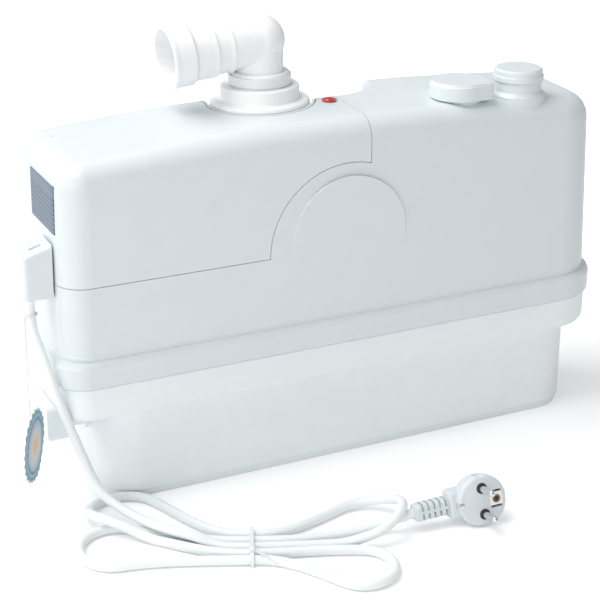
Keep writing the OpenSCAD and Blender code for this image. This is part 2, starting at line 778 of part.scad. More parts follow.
// Side inlet with its cap
side_stub_out = 31;
side_flange_r = side_stub_r + wall;
side_flange_t = 3;
side_cap_d = 17;
side_cap_t = 2.5;
side_cap_corner = 5;
module side_stub() {
    color("white") translate([side_x, 0, side_h]) rotate([0, -90, 0]) difference() {
        union() {
            translate([0, 0, -2 * wall]) cylinder(r = side_stub_r, h = side_stub_out + 2 * wall);
            cylinder(r = side_flange_r, h = side_flange_t);
        }
        translate([0, 0, -3 * wall]) cylinder(r = side_r, h = side_stub_out + 4 * wall);
    }
}

module side_cap() {
    color("white") translate([side_x - side_stub_out - side_cap_t - fit_gap, 0, side_h]) rotate([0, 90, 0])
        difference() {
            translate([0, 0, 0]) plate(side_cap_h, side_cap_w, side_cap_corner, side_cap_d);
            translate([0, 0, side_cap_t]) cylinder(r = side_stub_r + run_gap, h = side_cap_d);
        }
}

// Cable box on the end wall, its screw and its gland
box_out = 20;
box_x0 = -body_l / 2 - box_out;
box_y0 = -35.5;
box_y1 = -10;
box_z0 = 160.5;
box_h = 33;
box_rise_share = 0.3;
box_corner = 4.5;
box_edge = 2;
box_t = 2.5;
box_gap = 1.3;
box_foot_h = 10.5;
box_reach = 8;
box_slot_l = 7;
box_slot_w = 3;
box_slot_out_share = 1.6;
box_slot_x = -body_l / 2 - box_slot_out_share * box_slot_l;
box_slot_y = -27.5;
exit_in = 4.5;
exit_y = 7.5;
cord_x0 = box_x0 + exit_in;
cord_y0 = box_y0 + exit_y;
gland_r = 4.4;
gland_h = 2;
module cable_box() {
    back_x = -body_l / 2 + box_reach;
    rise = box_rise_share * (back_x - box_x0);
    color("white") difference() {
        union() {
            difference() {
                intersection() {
                    translate([0, box_y1, 0]) rotate([90, 0, 0]) linear_extrude(box_y1 - box_y0) polygon([
                        [box_x0, box_z0], [back_x, box_z0], [back_x, box_z0 + box_h + rise],
                        [box_x0 + box_edge, box_z0 + box_h + box_edge * box_rise_share],
                        [box_x0 + box_edge * soft_edge_share, box_z0 + box_h - box_edge * soft_edge_share],
                        [box_x0, box_z0 + box_h - box_edge]
                    ]);
                    translate([(box_x0 + back_x) / 2 + box_corner, (box_y0 + box_y1) / 2, 0])
                        plate(back_x - box_x0 + 2 * box_corner, box_y1 - box_y0, box_corner, belt_l);
                }
                loft(skin(-box_gap, belt_foot, true));
            }
            // Tab that carries the box on the fixed wall under the cover
            translate([-body_l / 2 - box_t, box_y0 + 2 * box_corner, box_z0 + box_t])
                cube([2 * box_reach, box_y1 - box_y0 - 3 * box_corner, box_foot_h - box_t]);
        }
        outer_skin();
        translate([box_x0 + box_t, box_y0 + box_t, box_z0 + box_t])
            cube([box_out - 2 * box_t - box_gap, box_y1 - box_y0 - 2 * box_t, box_h - 2 * box_t]);
        translate([box_slot_x, box_slot_y, box_z0 + 2 * box_t]) cube([box_slot_l, box_slot_w, 2 * box_h]);
        translate([cord_x0, cord_y0, box_z0 - over]) cylinder(r = cord_d / 2, h = 2 * box_t, $fn = small_fn);
        translate([box_x0 + box_out / 2, box_y1 - box_t - over, box_z0 + box_foot_h])
            rotate([-90, 0, 0]) cylinder(r = screw_r, h = box_t + 2 * over, $fn = small_fn);
    }
}

module cable_box_screw() {
    color("silver") translate([box_x0 + box_out / 2, box_y1, box_z0 + box_foot_h])
        rotate([-90, 0, 0]) difference() {
            union() {
                cylinder(r = screw_head_r, h = screw_head_h / 2, $fn = small_fn);
                translate([0, 0, -box_t]) cylinder(r = screw_r, h = box_t, $fn = small_fn);
            }
            translate([-screw_head_r / 2, -screw_r / 4, 0]) cube([screw_head_r, screw_r / 2, screw_head_h]);
        }
}

module cable_gland() {
    color("white") translate([cord_x0, cord_y0, box_z0 - gland_h]) union() {
        cylinder(r = gland_r - over / 2, h = gland_h, $fn = small_fn);
        translate([0, 0, gland_h / 2]) cylinder(r = gland_r, h = gland_h / 2, $fn = small_fn);
    }
}

// Motor
motor_z = deck_z + deck_t;
can_t = 2;
can_floor = 4;
lid_t = 6;
bearing_r = 11;
bearing_h = 7;
stator_r_in = 20;
rotor_r = 19.4;
motor_play = 14;
fin_n = 12;
module motor_can() {
    color("silver") translate([motor_x, 0, motor_z]) difference() {
        union() {
            cylinder(r = motor_r, h = motor_len);
            cylinder(r = motor_r + can_t, h = can_floor);
        }
        translate([0, 0, can_floor + bearing_h]) cylinder(r = motor_r - can_t, h = motor_len);
        translate([0, 0, can_floor]) cylinder(r = bearing_r, h = bearing_h + over);
        translate([0, 0, -over]) cylinder(r = deck_shaft_r, h = motor_len);
    }
}

module motor_lid() {
    color("dimgray") translate([motor_x, 0, motor_z + motor_len]) difference() {
        union() {
            cylinder(r = motor_r, h = lid_t);
            translate([0, 0, -2 * can_t]) cylinder(r = motor_r - can_t, h = 2 * can_t);
            translate([0, 0, -bearing_h - 2 * can_t]) cylinder(r = bearing_r + can_t, h = bearing_h);
            for (k = [0:fin_n - 1]) rotate(360 * k / fin_n)
                translate([bearing_r + can_t, -can_t / 2, lid_t - over])
                    cube([motor_r - bearing_r - 3 * can_t, can_t, 2 * can_t]);
        }
        translate([0, 0, -bearing_h - 3 * can_t]) cylinder(r = bearing_r, h = bearing_h + can_t);
    }
}

stator_z = motor_z + can_floor + bearing_h + motor_play;
stator_h = 42;
module stator_pack() {
    color("darkgray") translate([motor_x, 0, stator_z]) union() {
        ring_z(motor_r - can_t, stator_r_in, stator_h);
        translate([0, 0, stator_h]) ring_z(motor_r - 3 * can_t, stator_r_in + can_t, motor_play / 2);
        translate([0, 0, -motor_play / 2]) ring_z(motor_r - 3 * can_t, stator_r_in + can_t, motor_play / 2);
    }
}

module rotor() {
    color("gray") translate([motor_x, 0, stator_z]) ring_z(rotor_r, shaft_r, stator_h);
}

upper_bearing_z = motor_z + motor_len - bearing_h - 2 * can_t;
lower_bearing_z = motor_z + can_floor;
module bearing(z) {
    translate([motor_x, 0, z]) ring_z(bearing_r, shaft_r + run_gap, bearing_h);
}
module upper_bearing() { color("silver") bearing(upper_bearing_z); }
module lower_bearing() { color("silver") bearing(lower_bearing_z); }

impeller_up = 4;
impeller_z = volute_z + impeller_up;
impeller_t = 3;
vane_h = 9;
vane_t = 2.5;
hub_r = 9;
volute_t = 3;
volute_play = 5;
volute_r = impeller_r + volute_play;
cutter_z = 42;
cutter_t = 4;
cutter_l = 60;
cutter_w = 12;
shaft_top = upper_bearing_z + bearing_h - over;
module drive_shaft() {
    color("silver") translate([motor_x, 0, impeller_z])
        cylinder(r = shaft_r, h = shaft_top - impeller_z);
}

seal_r = 8.9;
module shaft_seal() {
    color("black") translate([motor_x, 0, deck_z]) ring_z(seal_r, shaft_r + run_gap, deck_t);
}

module impeller() {
    color("black") translate([motor_x, 0, impeller_z]) difference() {
        union() {
            cylinder(r = impeller_r, h = impeller_t);
            cylinder(r = hub_r, h = impeller_t + vane_h);
            for (k = [0:vane_n - 1]) rotate(360 * k / vane_n) translate([hub_r - over, -vane_t / 2, 0])
                cube([impeller_r - hub_r, vane_t, impeller_t + vane_h]);
        }
        translate([0, 0, -over]) cylinder(r = shaft_r, h = belt_w);
    }
}

module cutter() {
    color("silver") translate([motor_x, 0, cutter_z]) difference() {
        union() {
            cylinder(r = hub_r, h = 2 * cutter_t);
            for (k = [0:1]) rotate(90 * k) translate([-cutter_l / 2, -cutter_w / 2, k * cutter_t])
                cube([cutter_l, cutter_w, cutter_t]);
        }
        translate([0, 0, -over]) cylinder(r = shaft_r, h = belt_w);
    }
}

basket_z = volute_z + volute_h;
basket_h = 56;
basket_t = 2;
basket_hole = 12;
slot_w = 4;
slot_share = 0.6;
module cutting_basket() {
    color("lightgray") translate([motor_x, 0, basket_z]) difference() {
        cylinder(r = basket_r, h = basket_h);
        translate([0, 0, basket_t]) cylinder(r = basket_r - basket_t, h = basket_h);
        translate([0, 0, -over]) cylinder(r = basket_hole, h = basket_h);
        for (k = [0:slot_n / 2 - 1]) rotate(360 * k / slot_n + 180 / slot_n)
            translate([-2 * basket_r, -slot_w / 2, basket_h * (1 - slot_share) / 2])
                cube([4 * basket_r, slot_w, basket_h * slot_share]);
    }
}

module pump_volute() {
    color("dimgray") difference() {
        union() {
            translate([motor_x, 0, volute_z]) cylinder(r = volute_r + volute_t, h = volute_h);
            translate([motor_x, riser_y, outlet_z]) rotate([0, 90, 0])
                cylinder(r = pipe_r, h = socket_x - motor_x);
            for (k = [0:2]) translate([motor_x + (volute_r - hub_r) * cos(120 * k),
                (volute_r - hub_r) * sin(120 * k), floor_t])
                cylinder(r = hub_r / 2, h = volute_z - floor_t + over);
        }
        translate([motor_x, 0, volute_z + volute_t]) cylinder(r = volute_r, h = volute_h - 2 * volute_t);
        translate([motor_x, 0, volute_z]) cylinder(r = basket_hole, h = 2 * volute_h);
        translate([motor_x, riser_y, outlet_z]) rotate([0, 90, 0])
            cylinder(r = outlet_r - volute_t, h = belt_w);
    }
}

// Level sensing and capacitor
tube_low = 36;
switch_r = 14;
switch_h = 14;
plunger_r = 4;
plunger_up = 5;
module pressure_tube() {
    color("gray") translate([switch_x, switch_y, tube_low])
        ring_z(tube_r, tube_r - clip_t, deck_z + deck_t - tube_low);
}
module pressure_switch() {
    color("black") translate([switch_x, switch_y, deck_z + deck_t]) difference() {
        union() {
            cylinder(r = switch_r, h = switch_h);
            translate([0, 0, switch_h - over]) cylinder(r = hub_r, h = plunger_up);
        }
        translate([0, 0, switch_h - plunger_up]) cylinder(r = plunger_r + run_gap, h = belt_w);
    }
}
plunger_travel = 1.5;
module switch_plunger() {
    color("white") translate([switch_x, switch_y,
        deck_z + deck_t + switch_h - plunger_up + plunger_travel + fit_gap])
            cylinder(r = plunger_r, h = 3 * plunger_up - over);
}

clip_t = 1.5;
cap_x = switch_x;
cap_y = clip_t - switch_y;
cap_r = 14;
cap_len = 62;
clip_w = 10;
module capacitor() {
    color("silver") translate([cap_x, cap_y, deck_z + deck_t]) union() {
        cylinder(r = cap_r, h = cap_len);
        for (s = [-1, 1]) translate([s * cap_r / 2, 0, cap_len]) cylinder(r = screw_r, h = 2 * clip_w / 2);
    }
}
module capacitor_clip() {
    color("black") translate([cap_x, cap_y, deck_z + deck_t]) ring_z(cap_r + clip_t, cap_r, clip_w);
}

// Smooth curve through hand-placed points, as rings of one tube
function catmull(a, b, c, d, t) = 0.5 * ((2 * b) + (c - a) * t
    + (2 * a - 5 * b + 4 * c - d) * t * t + (3 * b - a - 3 * c + d) * t * t * t);
function smooth_path(p, n) = concat(
    [for (i = [1:len(p) - 3], k = [0:n - 1])
        let (q = catmull(p[i - 1], p[i], p[i + 1], p[i + 2], k / n)) [q[0], q[1], max(q[2], lie)]],
    [p[len(p) - 2]]);
function unit(v) = v / norm(v);
function heading(p, i) = unit(p[min(i + 1, len(p) - 1)] - p[max(i - 1, 0)]);
module tube(p, r, sides, side_ref) {
    m = len(p);
    polyhedron(
        points = [for (i = [0:m - 1]) let (t = heading(p, i), n = unit(cross(side_ref, t)), b = cross(t, n))
            each [for (k = [0:sides - 1]) p[i] + r * (n * cos(360 * k / sides) + b * sin(360 * k / sides))]],
        faces = concat(
            [for (k = [1:sides - 2]) [0, k, k + 1]],
            [for (i = [0:m - 2], k = [0:sides - 1]) each [
                [i * sides + k, (i + 1) * sides + k, (i + 1) * sides + (k + 1) % sides],
                [i * sides + k, (i + 1) * sides + (k + 1) % sides, i * sides + (k + 1) % sides]]],
            [for (k = [1:sides - 2]) [(m - 1) * sides, (m - 1) * sides + k + 1, (m - 1) * sides + k]]
        ));
}

// The lead is laid out from its exit; the tie holds five strands side by side and is turned a little
tie_out = [110.5, -123];
tie_x = cord_x0 + tie_out[0];
tie_y = cord_y0 + tie_out[1];
tie_turn = -23;
tie_l = 9;
strand_gap = 1.2;
pitch = cord_d + strand_gap;
lie_gap = 0.2;
lie = cord_d / 2 + lie_gap;
straight_end = 3;
function slot_v(n) = (3 - n) * pitch;
function to_floor(u, v) = [
    tie_x + u * cos(tie_turn) - v * sin(tie_turn),
    tie_y + u * sin(tie_turn) + v * cos(tie_turn)];
function on_floor(u, v) = let (q = to_floor(u, v)) [q[0], q[1], lie];
function from_exit(stops) = [for (p = stops) [cord_x0 + p[0], cord_y0 + p[1], p[2]]];
tie_end = tie_l / 2;

// Each lobe: side, direction, radius of its tip, length, slot out of the tie, slot back into it
lobes = [
    [1, 20, 26, 111, 3, 1],
    [-1, 28, 26, 127, 1, 4],
    [1, -21, 22, 101, 4, 5],
    [-1, 2, 25, 118, 5, 2]
];
strand_parts = 6;
tip_parts = 11;
function toward(a) = [cos(a), sin(a)];
function ease(a, dir_a, b, dir_b, t) = let (l = norm(b - a))
    (2 * pow(t, 3) - 3 * t * t + 1) * a + (pow(t, 3) - 2 * t * t + t) * l * dir_a
    + (3 * t * t - 2 * pow(t, 3)) * b + (pow(t, 3) - t * t) * l * dir_b;
function lobe_points(g) = let (
        s = g[4] < g[5] ? 1 : -1,
        c = (g[3] - g[2]) * toward(g[1]),
        open = asin(g[2] / norm(c)),
        a = g[1] + s * (90 + open), b = g[1] - s * (90 + open),
        out = [tie_end, slot_v(g[4])], back = [tie_end, slot_v(g[5])])
    [for (p = concat(
        [for (k = [0:strand_parts - 1]) ease(out, [1, 0], c + g[2] * toward(a),
            toward(g[1] + s * open), k / strand_parts)],
        [for (k = [0:tip_parts - 1]) c + g[2] * toward(a - s * (180 + 2 * open) * k / tip_parts)],
        [for (k = [0:strand_parts]) ease(back, [1, 0], c + g[2] * toward(b),
            toward(g[1] - s * open), 1 - k / strand_parts)]))
    [g[0] * p[0], p[1]]];

// Where one strand climbs over another: lobe number, place from the exit, how high, and its reach
climbs = [
    [0, [216, -142], 15.5, 52],
    [1, [25, -58.8], 9.5, 42]
];
function bump(d, reach) = d < reach ? pow(cos(90 * d / reach), 2) : 0;
function climb(q, lobe) = max([for (c = climbs)
    c[0] == lobe ? c[2] * bump(norm(q - c[1] - [cord_x0, cord_y0]), c[3]) : 0]);
hank_path = concat(
    [on_floor(-tie_end, slot_v(3))],
    [for (n = [0:len(lobes) - 1]) each [for (p = lobe_points(lobes[n]))
        let (q = to_floor(p[0], p[1])) [q[0], q[1], lie + climb(q, n)]]],
    [on_floor(tie_end, slot_v(2))]
);

// Angled plug: local X leaves the lead, local Z is where the pins point
plug_out = [271.9, -159.3];
plug_mid_z = 19;
plug_at = [cord_x0 + plug_out[0], cord_y0 + plug_out[1], plug_mid_z];
plug_turns = [75, -3.8, -5.2];
relief_x = -49;
relief_z = -12;
function turned(p, t) = let (
        a = [p[0], p[1] * cos(t[0]) - p[2] * sin(t[0]), p[1] * sin(t[0]) + p[2] * cos(t[0])],
        b = [a[0] * cos(t[1]) + a[2] * sin(t[1]), a[1], a[2] * cos(t[1]) - a[0] * sin(t[1])])
    [b[0] * cos(t[2]) - b[1] * sin(t[2]), b[0] * sin(t[2]) + b[1] * cos(t[2]), b[2]];
function at_relief(out) = plug_at + turned([relief_x - out, 0, relief_z], plug_turns);

// Free stretches: from the gland down to the tie, and from the tie to the plug
drop_stops = [
    [0, -1.2, 145], [1, -4, 134.5], [3.5, -11, 121.5], [6, -18.5, 107], [10.5, -24, 88],
    [18, -24.5, 63.5], [24.5, -24.5, 43], [29, -27.5, 29], [33, -33, 20.3], [37.5, -40.5, 14.8],
    [43, -51, 12], [48.5, -64, 11.3], [55.5, -77.5, 11.2], [64.5, -90, 11.2], [75.5, -101.5, 10],
    [86.5, -109.2, 5.6]
];
function below_exit(d) = [cord_x0, cord_y0, box_z0 - gland_h - d];
lead_aside = 1;
drop_path = concat(
    [below_exit(0)],
    smooth_path(concat([below_exit(0), below_exit(straight_end)], from_exit(drop_stops),
        [on_floor(-2 * tie_l, slot_v(3) + lead_aside), on_floor(-tie_end - straight_end, slot_v(3)),
            on_floor(-tie_end, slot_v(3))]), 2),
    [on_floor(-tie_end, slot_v(3))]);
tail_stops = [
    [141.5, -126.5, lie], [160.5, -131.5, lie], [180.5, -135.5, lie], [197.5, -138.5, 6],
    [208.5, -140.8, 9]
];
tail_path = concat(
    [on_floor(tie_end, slot_v(2))],
    smooth_path(concat(
        [for (u = [tie_end, tie_end + straight_end, 2 * tie_l]) on_floor(u, slot_v(2))],
        from_exit(tail_stops), [at_relief(straight_end), at_relief(0)]), 2),
    [at_relief(0)]);
lead_sides = 10;
hank_sides = 6;
module cord_drop() { color("white") tube(drop_path, cord_d / 2, lead_sides, [1, 0.2, 0]); }
module cord_hank() { color("white") tube(hank_path, cord_d / 2, hank_sides, [0, 0, 1]); }
module cord_tail() { color("white") tube(tail_path, cord_d / 2, lead_sides, [0, 0, 1]); }

// Least gap of the lead to itself, on its points, leaving out near neighbours on the same strand
all_path = concat(drop_path, hank_path, tail_path);
function run_of(p) = [for (i = 0, s = 0; i < len(p);
    s = s + (i + 1 < len(p) ? norm(p[i + 1] - p[i]) : 0), i = i + 1) s];
lead_runs = run_of(all_path);
near_run = 5 * cord_d;
least_gap = min([for (i = [0:len(all_path) - 1], j = [i + 1:len(all_path) - 1])
    lead_runs[j] - lead_runs[i] > near_run ? norm(all_path[i] - all_path[j]) - cord_d : belt_l]);
echo(least_gap_of_the_lead_to_itself = least_gap);
echo(length_of_the_lead = lead_runs[len(lead_runs) - 1]);

tie_gap = 0.3;
tie_band = 1.2;
tie_tail_deg = 20;
tie_wide = 5 * cord_d + 4 * strand_gap + 2 * tie_gap;
module cord_tie() {
    color("white") translate([tie_x, tie_y, 0]) rotate([0, 0, tie_turn])
        translate([0, 0, tie_band / 4]) rotate([90, 0, 90]) translate([0, 0, -tie_l / 4]) union() {
            difference() {
                translate([-tie_wide / 2 - tie_band, -tie_band / 4, 0])
                    cube([tie_wide + 2 * tie_band, lie + cord_d / 2 + tie_gap + tie_band, tie_l / 2]);
                translate([-tie_wide / 2, -over, -over])
                    cube([tie_wide, lie + cord_d / 2 + tie_gap + over, tie_l]);
            }
            translate([tie_wide / 2 + tie_band / 2, lie + cord_d / 2, 0]) rotate([0, 0, tie_tail_deg])
                cube([2 * tie_band, 3 * tie_band, tie_l / 2]);
        }
}

// Plug
plug_back = 24;
plug_flange = 4;
plug_dome_r = 13;
relief_l = 26;
relief_r = 6.2;
relief_rib = 1.2;
rib_n = 5;
neck_w = 21;
neck_t = 15;
pin_gap = 19;
plug_pin_r = 2.4;
plug_pin_l = 19;
earth_x = 10;
earth_r = 2.5;
earth_out = 4.2;
earth_deep = 12;
module plug_place() { translate(plug_at) rotate(plug_turns) children(); }
module plug_body() {
    color("white") plug_place() difference() {
        union() {
            translate([0, 0, -plug_flange]) cylinder(r = plug_r, h = plug_flange);
            translate([0, 0, -plug_back])
                cylinder(r1 = plug_dome_r, r2 = plug_r, h = plug_back - plug_flange);
            translate([relief_x + relief_l - over, -neck_w / 2, relief_z - neck_t / 2])
                cube([-relief_x - relief_l + over, neck_w, neck_t]);
            translate([relief_x, 0, relief_z]) rotate([0, 90, 0])
                cylinder(r = relief_r - relief_rib, h = relief_l);
            for (k = [0:rib_n - 1]) translate([relief_x + relief_l * k / rib_n, 0, relief_z])
                rotate([0, 90, 0]) cylinder(r = relief_r, h = relief_l / rib_n * soft_edge_share * 2);
        }
        for (s = [-1, 1]) translate([0, s * pin_gap / 2, -earth_deep])
            cylinder(r = plug_pin_r, h = 2 * earth_deep, $fn = small_fn);
        translate([earth_x, 0, -earth_deep]) cylinder(r = earth_out, h = 2 * earth_deep, $fn = small_fn);
    }
}
module plug_pins() {
    color("silver") plug_place() for (s = [-1, 1]) translate([0, s * pin_gap / 2, -earth_deep]) union() {
        cylinder(r = plug_pin_r, h = earth_deep + plug_pin_l - plug_pin_r, $fn = small_fn);
        translate([0, 0, earth_deep + plug_pin_l - plug_pin_r]) sphere(r = plug_pin_r, $fn = small_fn);
    }
}
module plug_earth() {
    color("gold") plug_place() translate([earth_x, 0, -earth_deep])
        difference() {
            cylinder(r = earth_out, h = earth_deep, $fn = small_fn);
            translate([0, 0, over]) cylinder(r = earth_r, h = earth_deep, $fn = small_fn);
        }
}

// Paper tag on its thread
tag_out = [-8, -16];
tag_mid_z = 57.5;
tag_at = [cord_x0 + tag_out[0], cord_y0 + tag_out[1], tag_mid_z];
tag_turn = 59;
tag_r = 24.2;
tag_t = 0.8;
tag_scallops = 24;
tag_hole_r = 1.5;
thread_r = 0.5;
knot_z = 149;
knot_h = 1.2;
knot_t = 1;
knot_gap = 0.35;
knot_lean = 0.6;
thread_stops = [
    [-4.4, -0.6, 160], [-4.4, -0.6, 149.6], [-5.5, -4, 132], [-7.5, -9.5, 108],
    [-9.2, -15.5, 79.8], [-10, -17, 68]
];
module tag_thread() {
    color("white") union() {
        tube(smooth_path(from_exit(thread_stops), 2), thread_r, hank_sides, [1, 0, 0]);
        translate([cord_x0, cord_y0 - knot_lean, knot_z])
            ring_z(cord_d / 2 + knot_gap + knot_t, cord_d / 2 + knot_gap, knot_h);
    }
}
module hang_tag() {
    color("lightblue") translate(tag_at) rotate([90, 0, tag_turn]) translate([0, 0, -tag_t / 2])
        linear_extrude(tag_t) difference() {
            union() {
                circle(tag_r);
                for (k = [0:tag_scallops - 1]) rotate(360 * k / tag_scallops) translate([tag_r - over, 0])
                    circle(tag_r * sin(180 / tag_scallops), $fn = small_fn);
            }
            translate([0, tag_r - 2 * tag_hole_r]) circle(tag_hole_r, $fn = small_fn);
        }
}

tank();
tank_gasket();
upper_housing();
service_cover();
motor_deck();
discharge_boot();
boot_clamp();
discharge_elbow();
riser_pipe();
valve_body();
valve_flap();
valve_pin();
pilot_lens();
vent_cap();
vent_filter();
inlet_stub();
inlet_cap();
wc_sleeve();
wc_clamp();
side_stub();
side_cap();
cable_box();
cable_box_screw();
cable_gland();
rating_plate();
motor_can();
motor_lid();
stator_pack();
rotor();
drive_shaft();
upper_bearing();
lower_bearing();
shaft_seal();
impeller();
cutter();
cutting_basket();
pump_volute();
pressure_tube();
pressure_switch();
switch_plunger();
capacitor();
capacitor_clip();
housing_screws();
cord_drop();
cord_hank();
cord_tail();
cord_tie();
plug_body();
plug_pins();
plug_earth();
tag_thread();
hang_tag();
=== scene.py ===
import json
import math

import bmesh
import bpy
from mathutils import Euler, Matrix, Vector


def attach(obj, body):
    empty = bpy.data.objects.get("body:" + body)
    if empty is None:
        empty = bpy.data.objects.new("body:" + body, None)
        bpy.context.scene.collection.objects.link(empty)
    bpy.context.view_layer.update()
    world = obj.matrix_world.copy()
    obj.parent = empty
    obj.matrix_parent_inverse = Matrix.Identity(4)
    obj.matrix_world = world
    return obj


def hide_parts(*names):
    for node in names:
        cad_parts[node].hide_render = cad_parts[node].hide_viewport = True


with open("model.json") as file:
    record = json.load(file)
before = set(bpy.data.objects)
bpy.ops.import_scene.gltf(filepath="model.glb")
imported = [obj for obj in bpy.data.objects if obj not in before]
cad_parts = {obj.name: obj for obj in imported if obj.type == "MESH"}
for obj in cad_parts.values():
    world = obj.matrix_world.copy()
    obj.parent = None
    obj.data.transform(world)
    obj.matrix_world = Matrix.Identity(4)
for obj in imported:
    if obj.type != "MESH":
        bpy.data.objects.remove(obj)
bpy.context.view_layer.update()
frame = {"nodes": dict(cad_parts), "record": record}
nodes = frame["nodes"]
MM = 0.001

# Camera, as fitted to the photograph
CAM_AZ, CAM_EL, CAM_LENS = -25.18, 22.35, 92.3
CAM_AT = Vector((-0.482, -0.9876, 0.5602))
cam_data = bpy.data.cameras.new("camera")
cam_data.lens = CAM_LENS
cam_data.sensor_width = 36.0
cam = bpy.data.objects.new("camera", cam_data)
cam.location = CAM_AT
cam.rotation_euler = Euler((math.radians(90 - CAM_EL), 0, math.radians(CAM_AZ)))
bpy.context.scene.collection.objects.link(cam)
bpy.context.scene.camera = cam


# Small helpers
def rad(a):
    return math.radians(a)


def link(name, mesh):
    ob = bpy.data.objects.new(name, mesh)
    bpy.context.scene.collection.objects.link(ob)
    return ob


def mesh_of(bm, name, smooth_deg=38):
    mesh = bpy.data.meshes.new(name)
    bm.normal_update()
    bm.to_mesh(mesh)
    bm.free()
    finish_smooth(mesh, smooth_deg)
    return mesh


def finish_smooth(mesh, smooth_deg):
    for p in mesh.polygons:
        p.use_smooth = True
    mesh.set_sharp_from_angle(angle=rad(smooth_deg))


# Mains lead: the same route as in the part's source, in millimetres
CORD_D = 7.0
LIE = CORD_D / 2 + 0.2
PITCH = CORD_D + 1.2
EXIT = (-235.5, -28.0, 158.5)
TIE = (EXIT[0] + 110.5, EXIT[1] - 123.0, -23.0)
TIE_L = 9.0
TIE_END = TIE_L / 2
STRAIGHT_END = 3.0
LEAD_ASIDE = 1.0
LOBES = [
    (1, 20, 26, 111, 3, 1),
    (-1, 28, 26, 127, 1, 4),
    (1, -21, 22, 101, 4, 5),
    (-1, 2, 25, 118, 5, 2),
]
CLIMBS = [(0, (216, -142), 15.5, 52), (1, (25, -58.8), 9.5, 42)]
DROP_STOPS = [
    (0, -1.2, 145), (1, -4, 134.5), (3.5, -11, 121.5), (6, -18.5, 107), (10.5, -24, 88),
    (18, -24.5, 63.5), (24.5, -24.5, 43), (29, -27.5, 29), (33, -33, 20.3), (37.5, -40.5, 14.8),
    (43, -51, 12), (48.5, -64, 11.3), (55.5, -77.5, 11.2), (64.5, -90, 11.2), (75.5, -101.5, 10),
    (86.5, -109.2, 5.6),
]
TAIL_STOPS = [
    (141.5, -126.5, LIE), (160.5, -131.5, LIE), (180.5, -135.5, LIE), (197.5, -138.5, 6), (208.5, -140.8, 9),
]
PLUG_AT = Vector((EXIT[0] + 271.9, EXIT[1] - 159.3, 19.0))
PLUG_TURN = Euler((math.radians(75), math.radians(-3.8), math.radians(-5.2))).to_matrix()
RELIEF = (-49.0, 0.0, -12.0)


def slot_v(n):
    return (3 - n) * PITCH


def on_floor(u, v):
    c, s = math.cos(rad(TIE[2])), math.sin(rad(TIE[2]))
    return Vector((TIE[0] + u * c - v * s, TIE[1] + u * s + v * c, LIE))


def toward(deg):
    return Vector((math.cos(rad(deg)), math.sin(rad(deg))))


def ease(a, dir_a, b, dir_b, t):
    n = (b - a).length
    return ((2 * t ** 3 - 3 * t * t + 1) * a + (t ** 3 - 2 * t * t + t) * n * dir_a
            + (3 * t * t - 2 * t ** 3) * b + (t ** 3 - t * t) * n * dir_b)


def lobe_points(g, strand, tip):
    side, mid, radius, length, a_slot, b_slot = g
    s = 1 if a_slot < b_slot else -1
    c = (length - radius) * toward(mid)
    spread = math.degrees(math.asin(radius / c.length))
    a, b = mid + s * (90 + spread), mid - s * (90 + spread)
    ahead = Vector((1.0, 0.0))
    out, back = Vector((TIE_END, slot_v(a_slot))), Vector((TIE_END, slot_v(b_slot)))
    line = [ease(out, ahead, c + radius * toward(a), toward(mid + s * spread), k / strand) for k in range(strand)]
    line += [c + radius * toward(a - s * (180 + 2 * spread) * k / tip) for k in range(tip)]
    line += [ease(back, ahead, c + radius * toward(b), toward(mid - s * spread), 1 - k / strand)
             for k in range(strand + 1)]
    return [(side * q.x, q.y) for q in line]


def climb(q, lobe):
    up = 0.0
    for c_lobe, at, height, reach in CLIMBS:
        d = math.hypot(q.x - at[0] - EXIT[0], q.y - at[1] - EXIT[1])
        if c_lobe == lobe and d < reach:
            up = max(up, height * math.cos(math.pi / 2 * d / reach) ** 2)
    return up


def catmull(a, b, c, d, t):
    return 0.5 * ((2 * b) + (c - a) * t + (2 * a - 5 * b + 4 * c - d) * t * t + (3 * b - a - 3 * c + d) * t ** 3)


def smooth_path(p, n):
    p = [Vector(q) for q in p]
    out = []
    for i in range(1, len(p) - 2):
        for k in range(n):
            q = catmull(p[i - 1], p[i], p[i + 1], p[i + 2], k / n)
            out.append(Vector((q.x, q.y, max(q.z, LIE))))
    out.append(p[-2])
    return out


def hank_line():
    out = [on_floor(-TIE_END, slot_v(3))]
    for n, g in enumerate(LOBES):
        for u, v in lobe_points(g, 20, 36):
            q = on_floor(u, v)
            out.append(Vector((q.x, q.y, LIE + climb(q, n))))
    out.append(on_floor(TIE_END, slot_v(2)))
    return out


def from_exit(stops):
    return [(EXIT[0] + x, EXIT[1] + y, z) for x, y, z in stops]


def at_relief(out):
    return PLUG_AT + PLUG_TURN @ Vector((RELIEF[0] - out, RELIEF[1], RELIEF[2]))


def lead_line():
    n = 5
    top = Vector(EXIT)
    drop = [top] + smooth_path(
        [top, top - Vector((0, 0, STRAIGHT_END))] + from_exit(DROP_STOPS)
        + [on_floor(-2 * TIE_L, slot_v(3) + LEAD_ASIDE), on_floor(-TIE_END - STRAIGHT_END, slot_v(3)),
           on_floor(-TIE_END, slot_v(3))], n)
    tail = smooth_path(
        [on_floor(u, slot_v(2)) for u in (TIE_END, TIE_END + STRAIGHT_END, 2 * TIE_L)]
        + from_exit(TAIL_STOPS) + [at_relief(STRAIGHT_END), at_relief(0)], n) + [at_relief(0)]
    return drop + hank_line() + tail


def curve_piece(name, points, radius, sides=6):
    data = bpy.data.curves.new(name, "CURVE")
    data.dimensions = "3D"
    # The thickness is the points' own radius, which is also what the curve's bounding box goes by
    data.bevel_depth = 1.0
    data.bevel_resolution = sides
    data.use_fill_caps = True
    sp = data.splines.new("POLY")
    sp.points.add(len(points) - 1)
    for i, q in enumerate(points):
        sp.points[i].co = (q[0] * MM, q[1] * MM, q[2] * MM, 1)
        sp.points[i].radius = radius * MM
    sp.use_smooth = True
    return link(name, data)


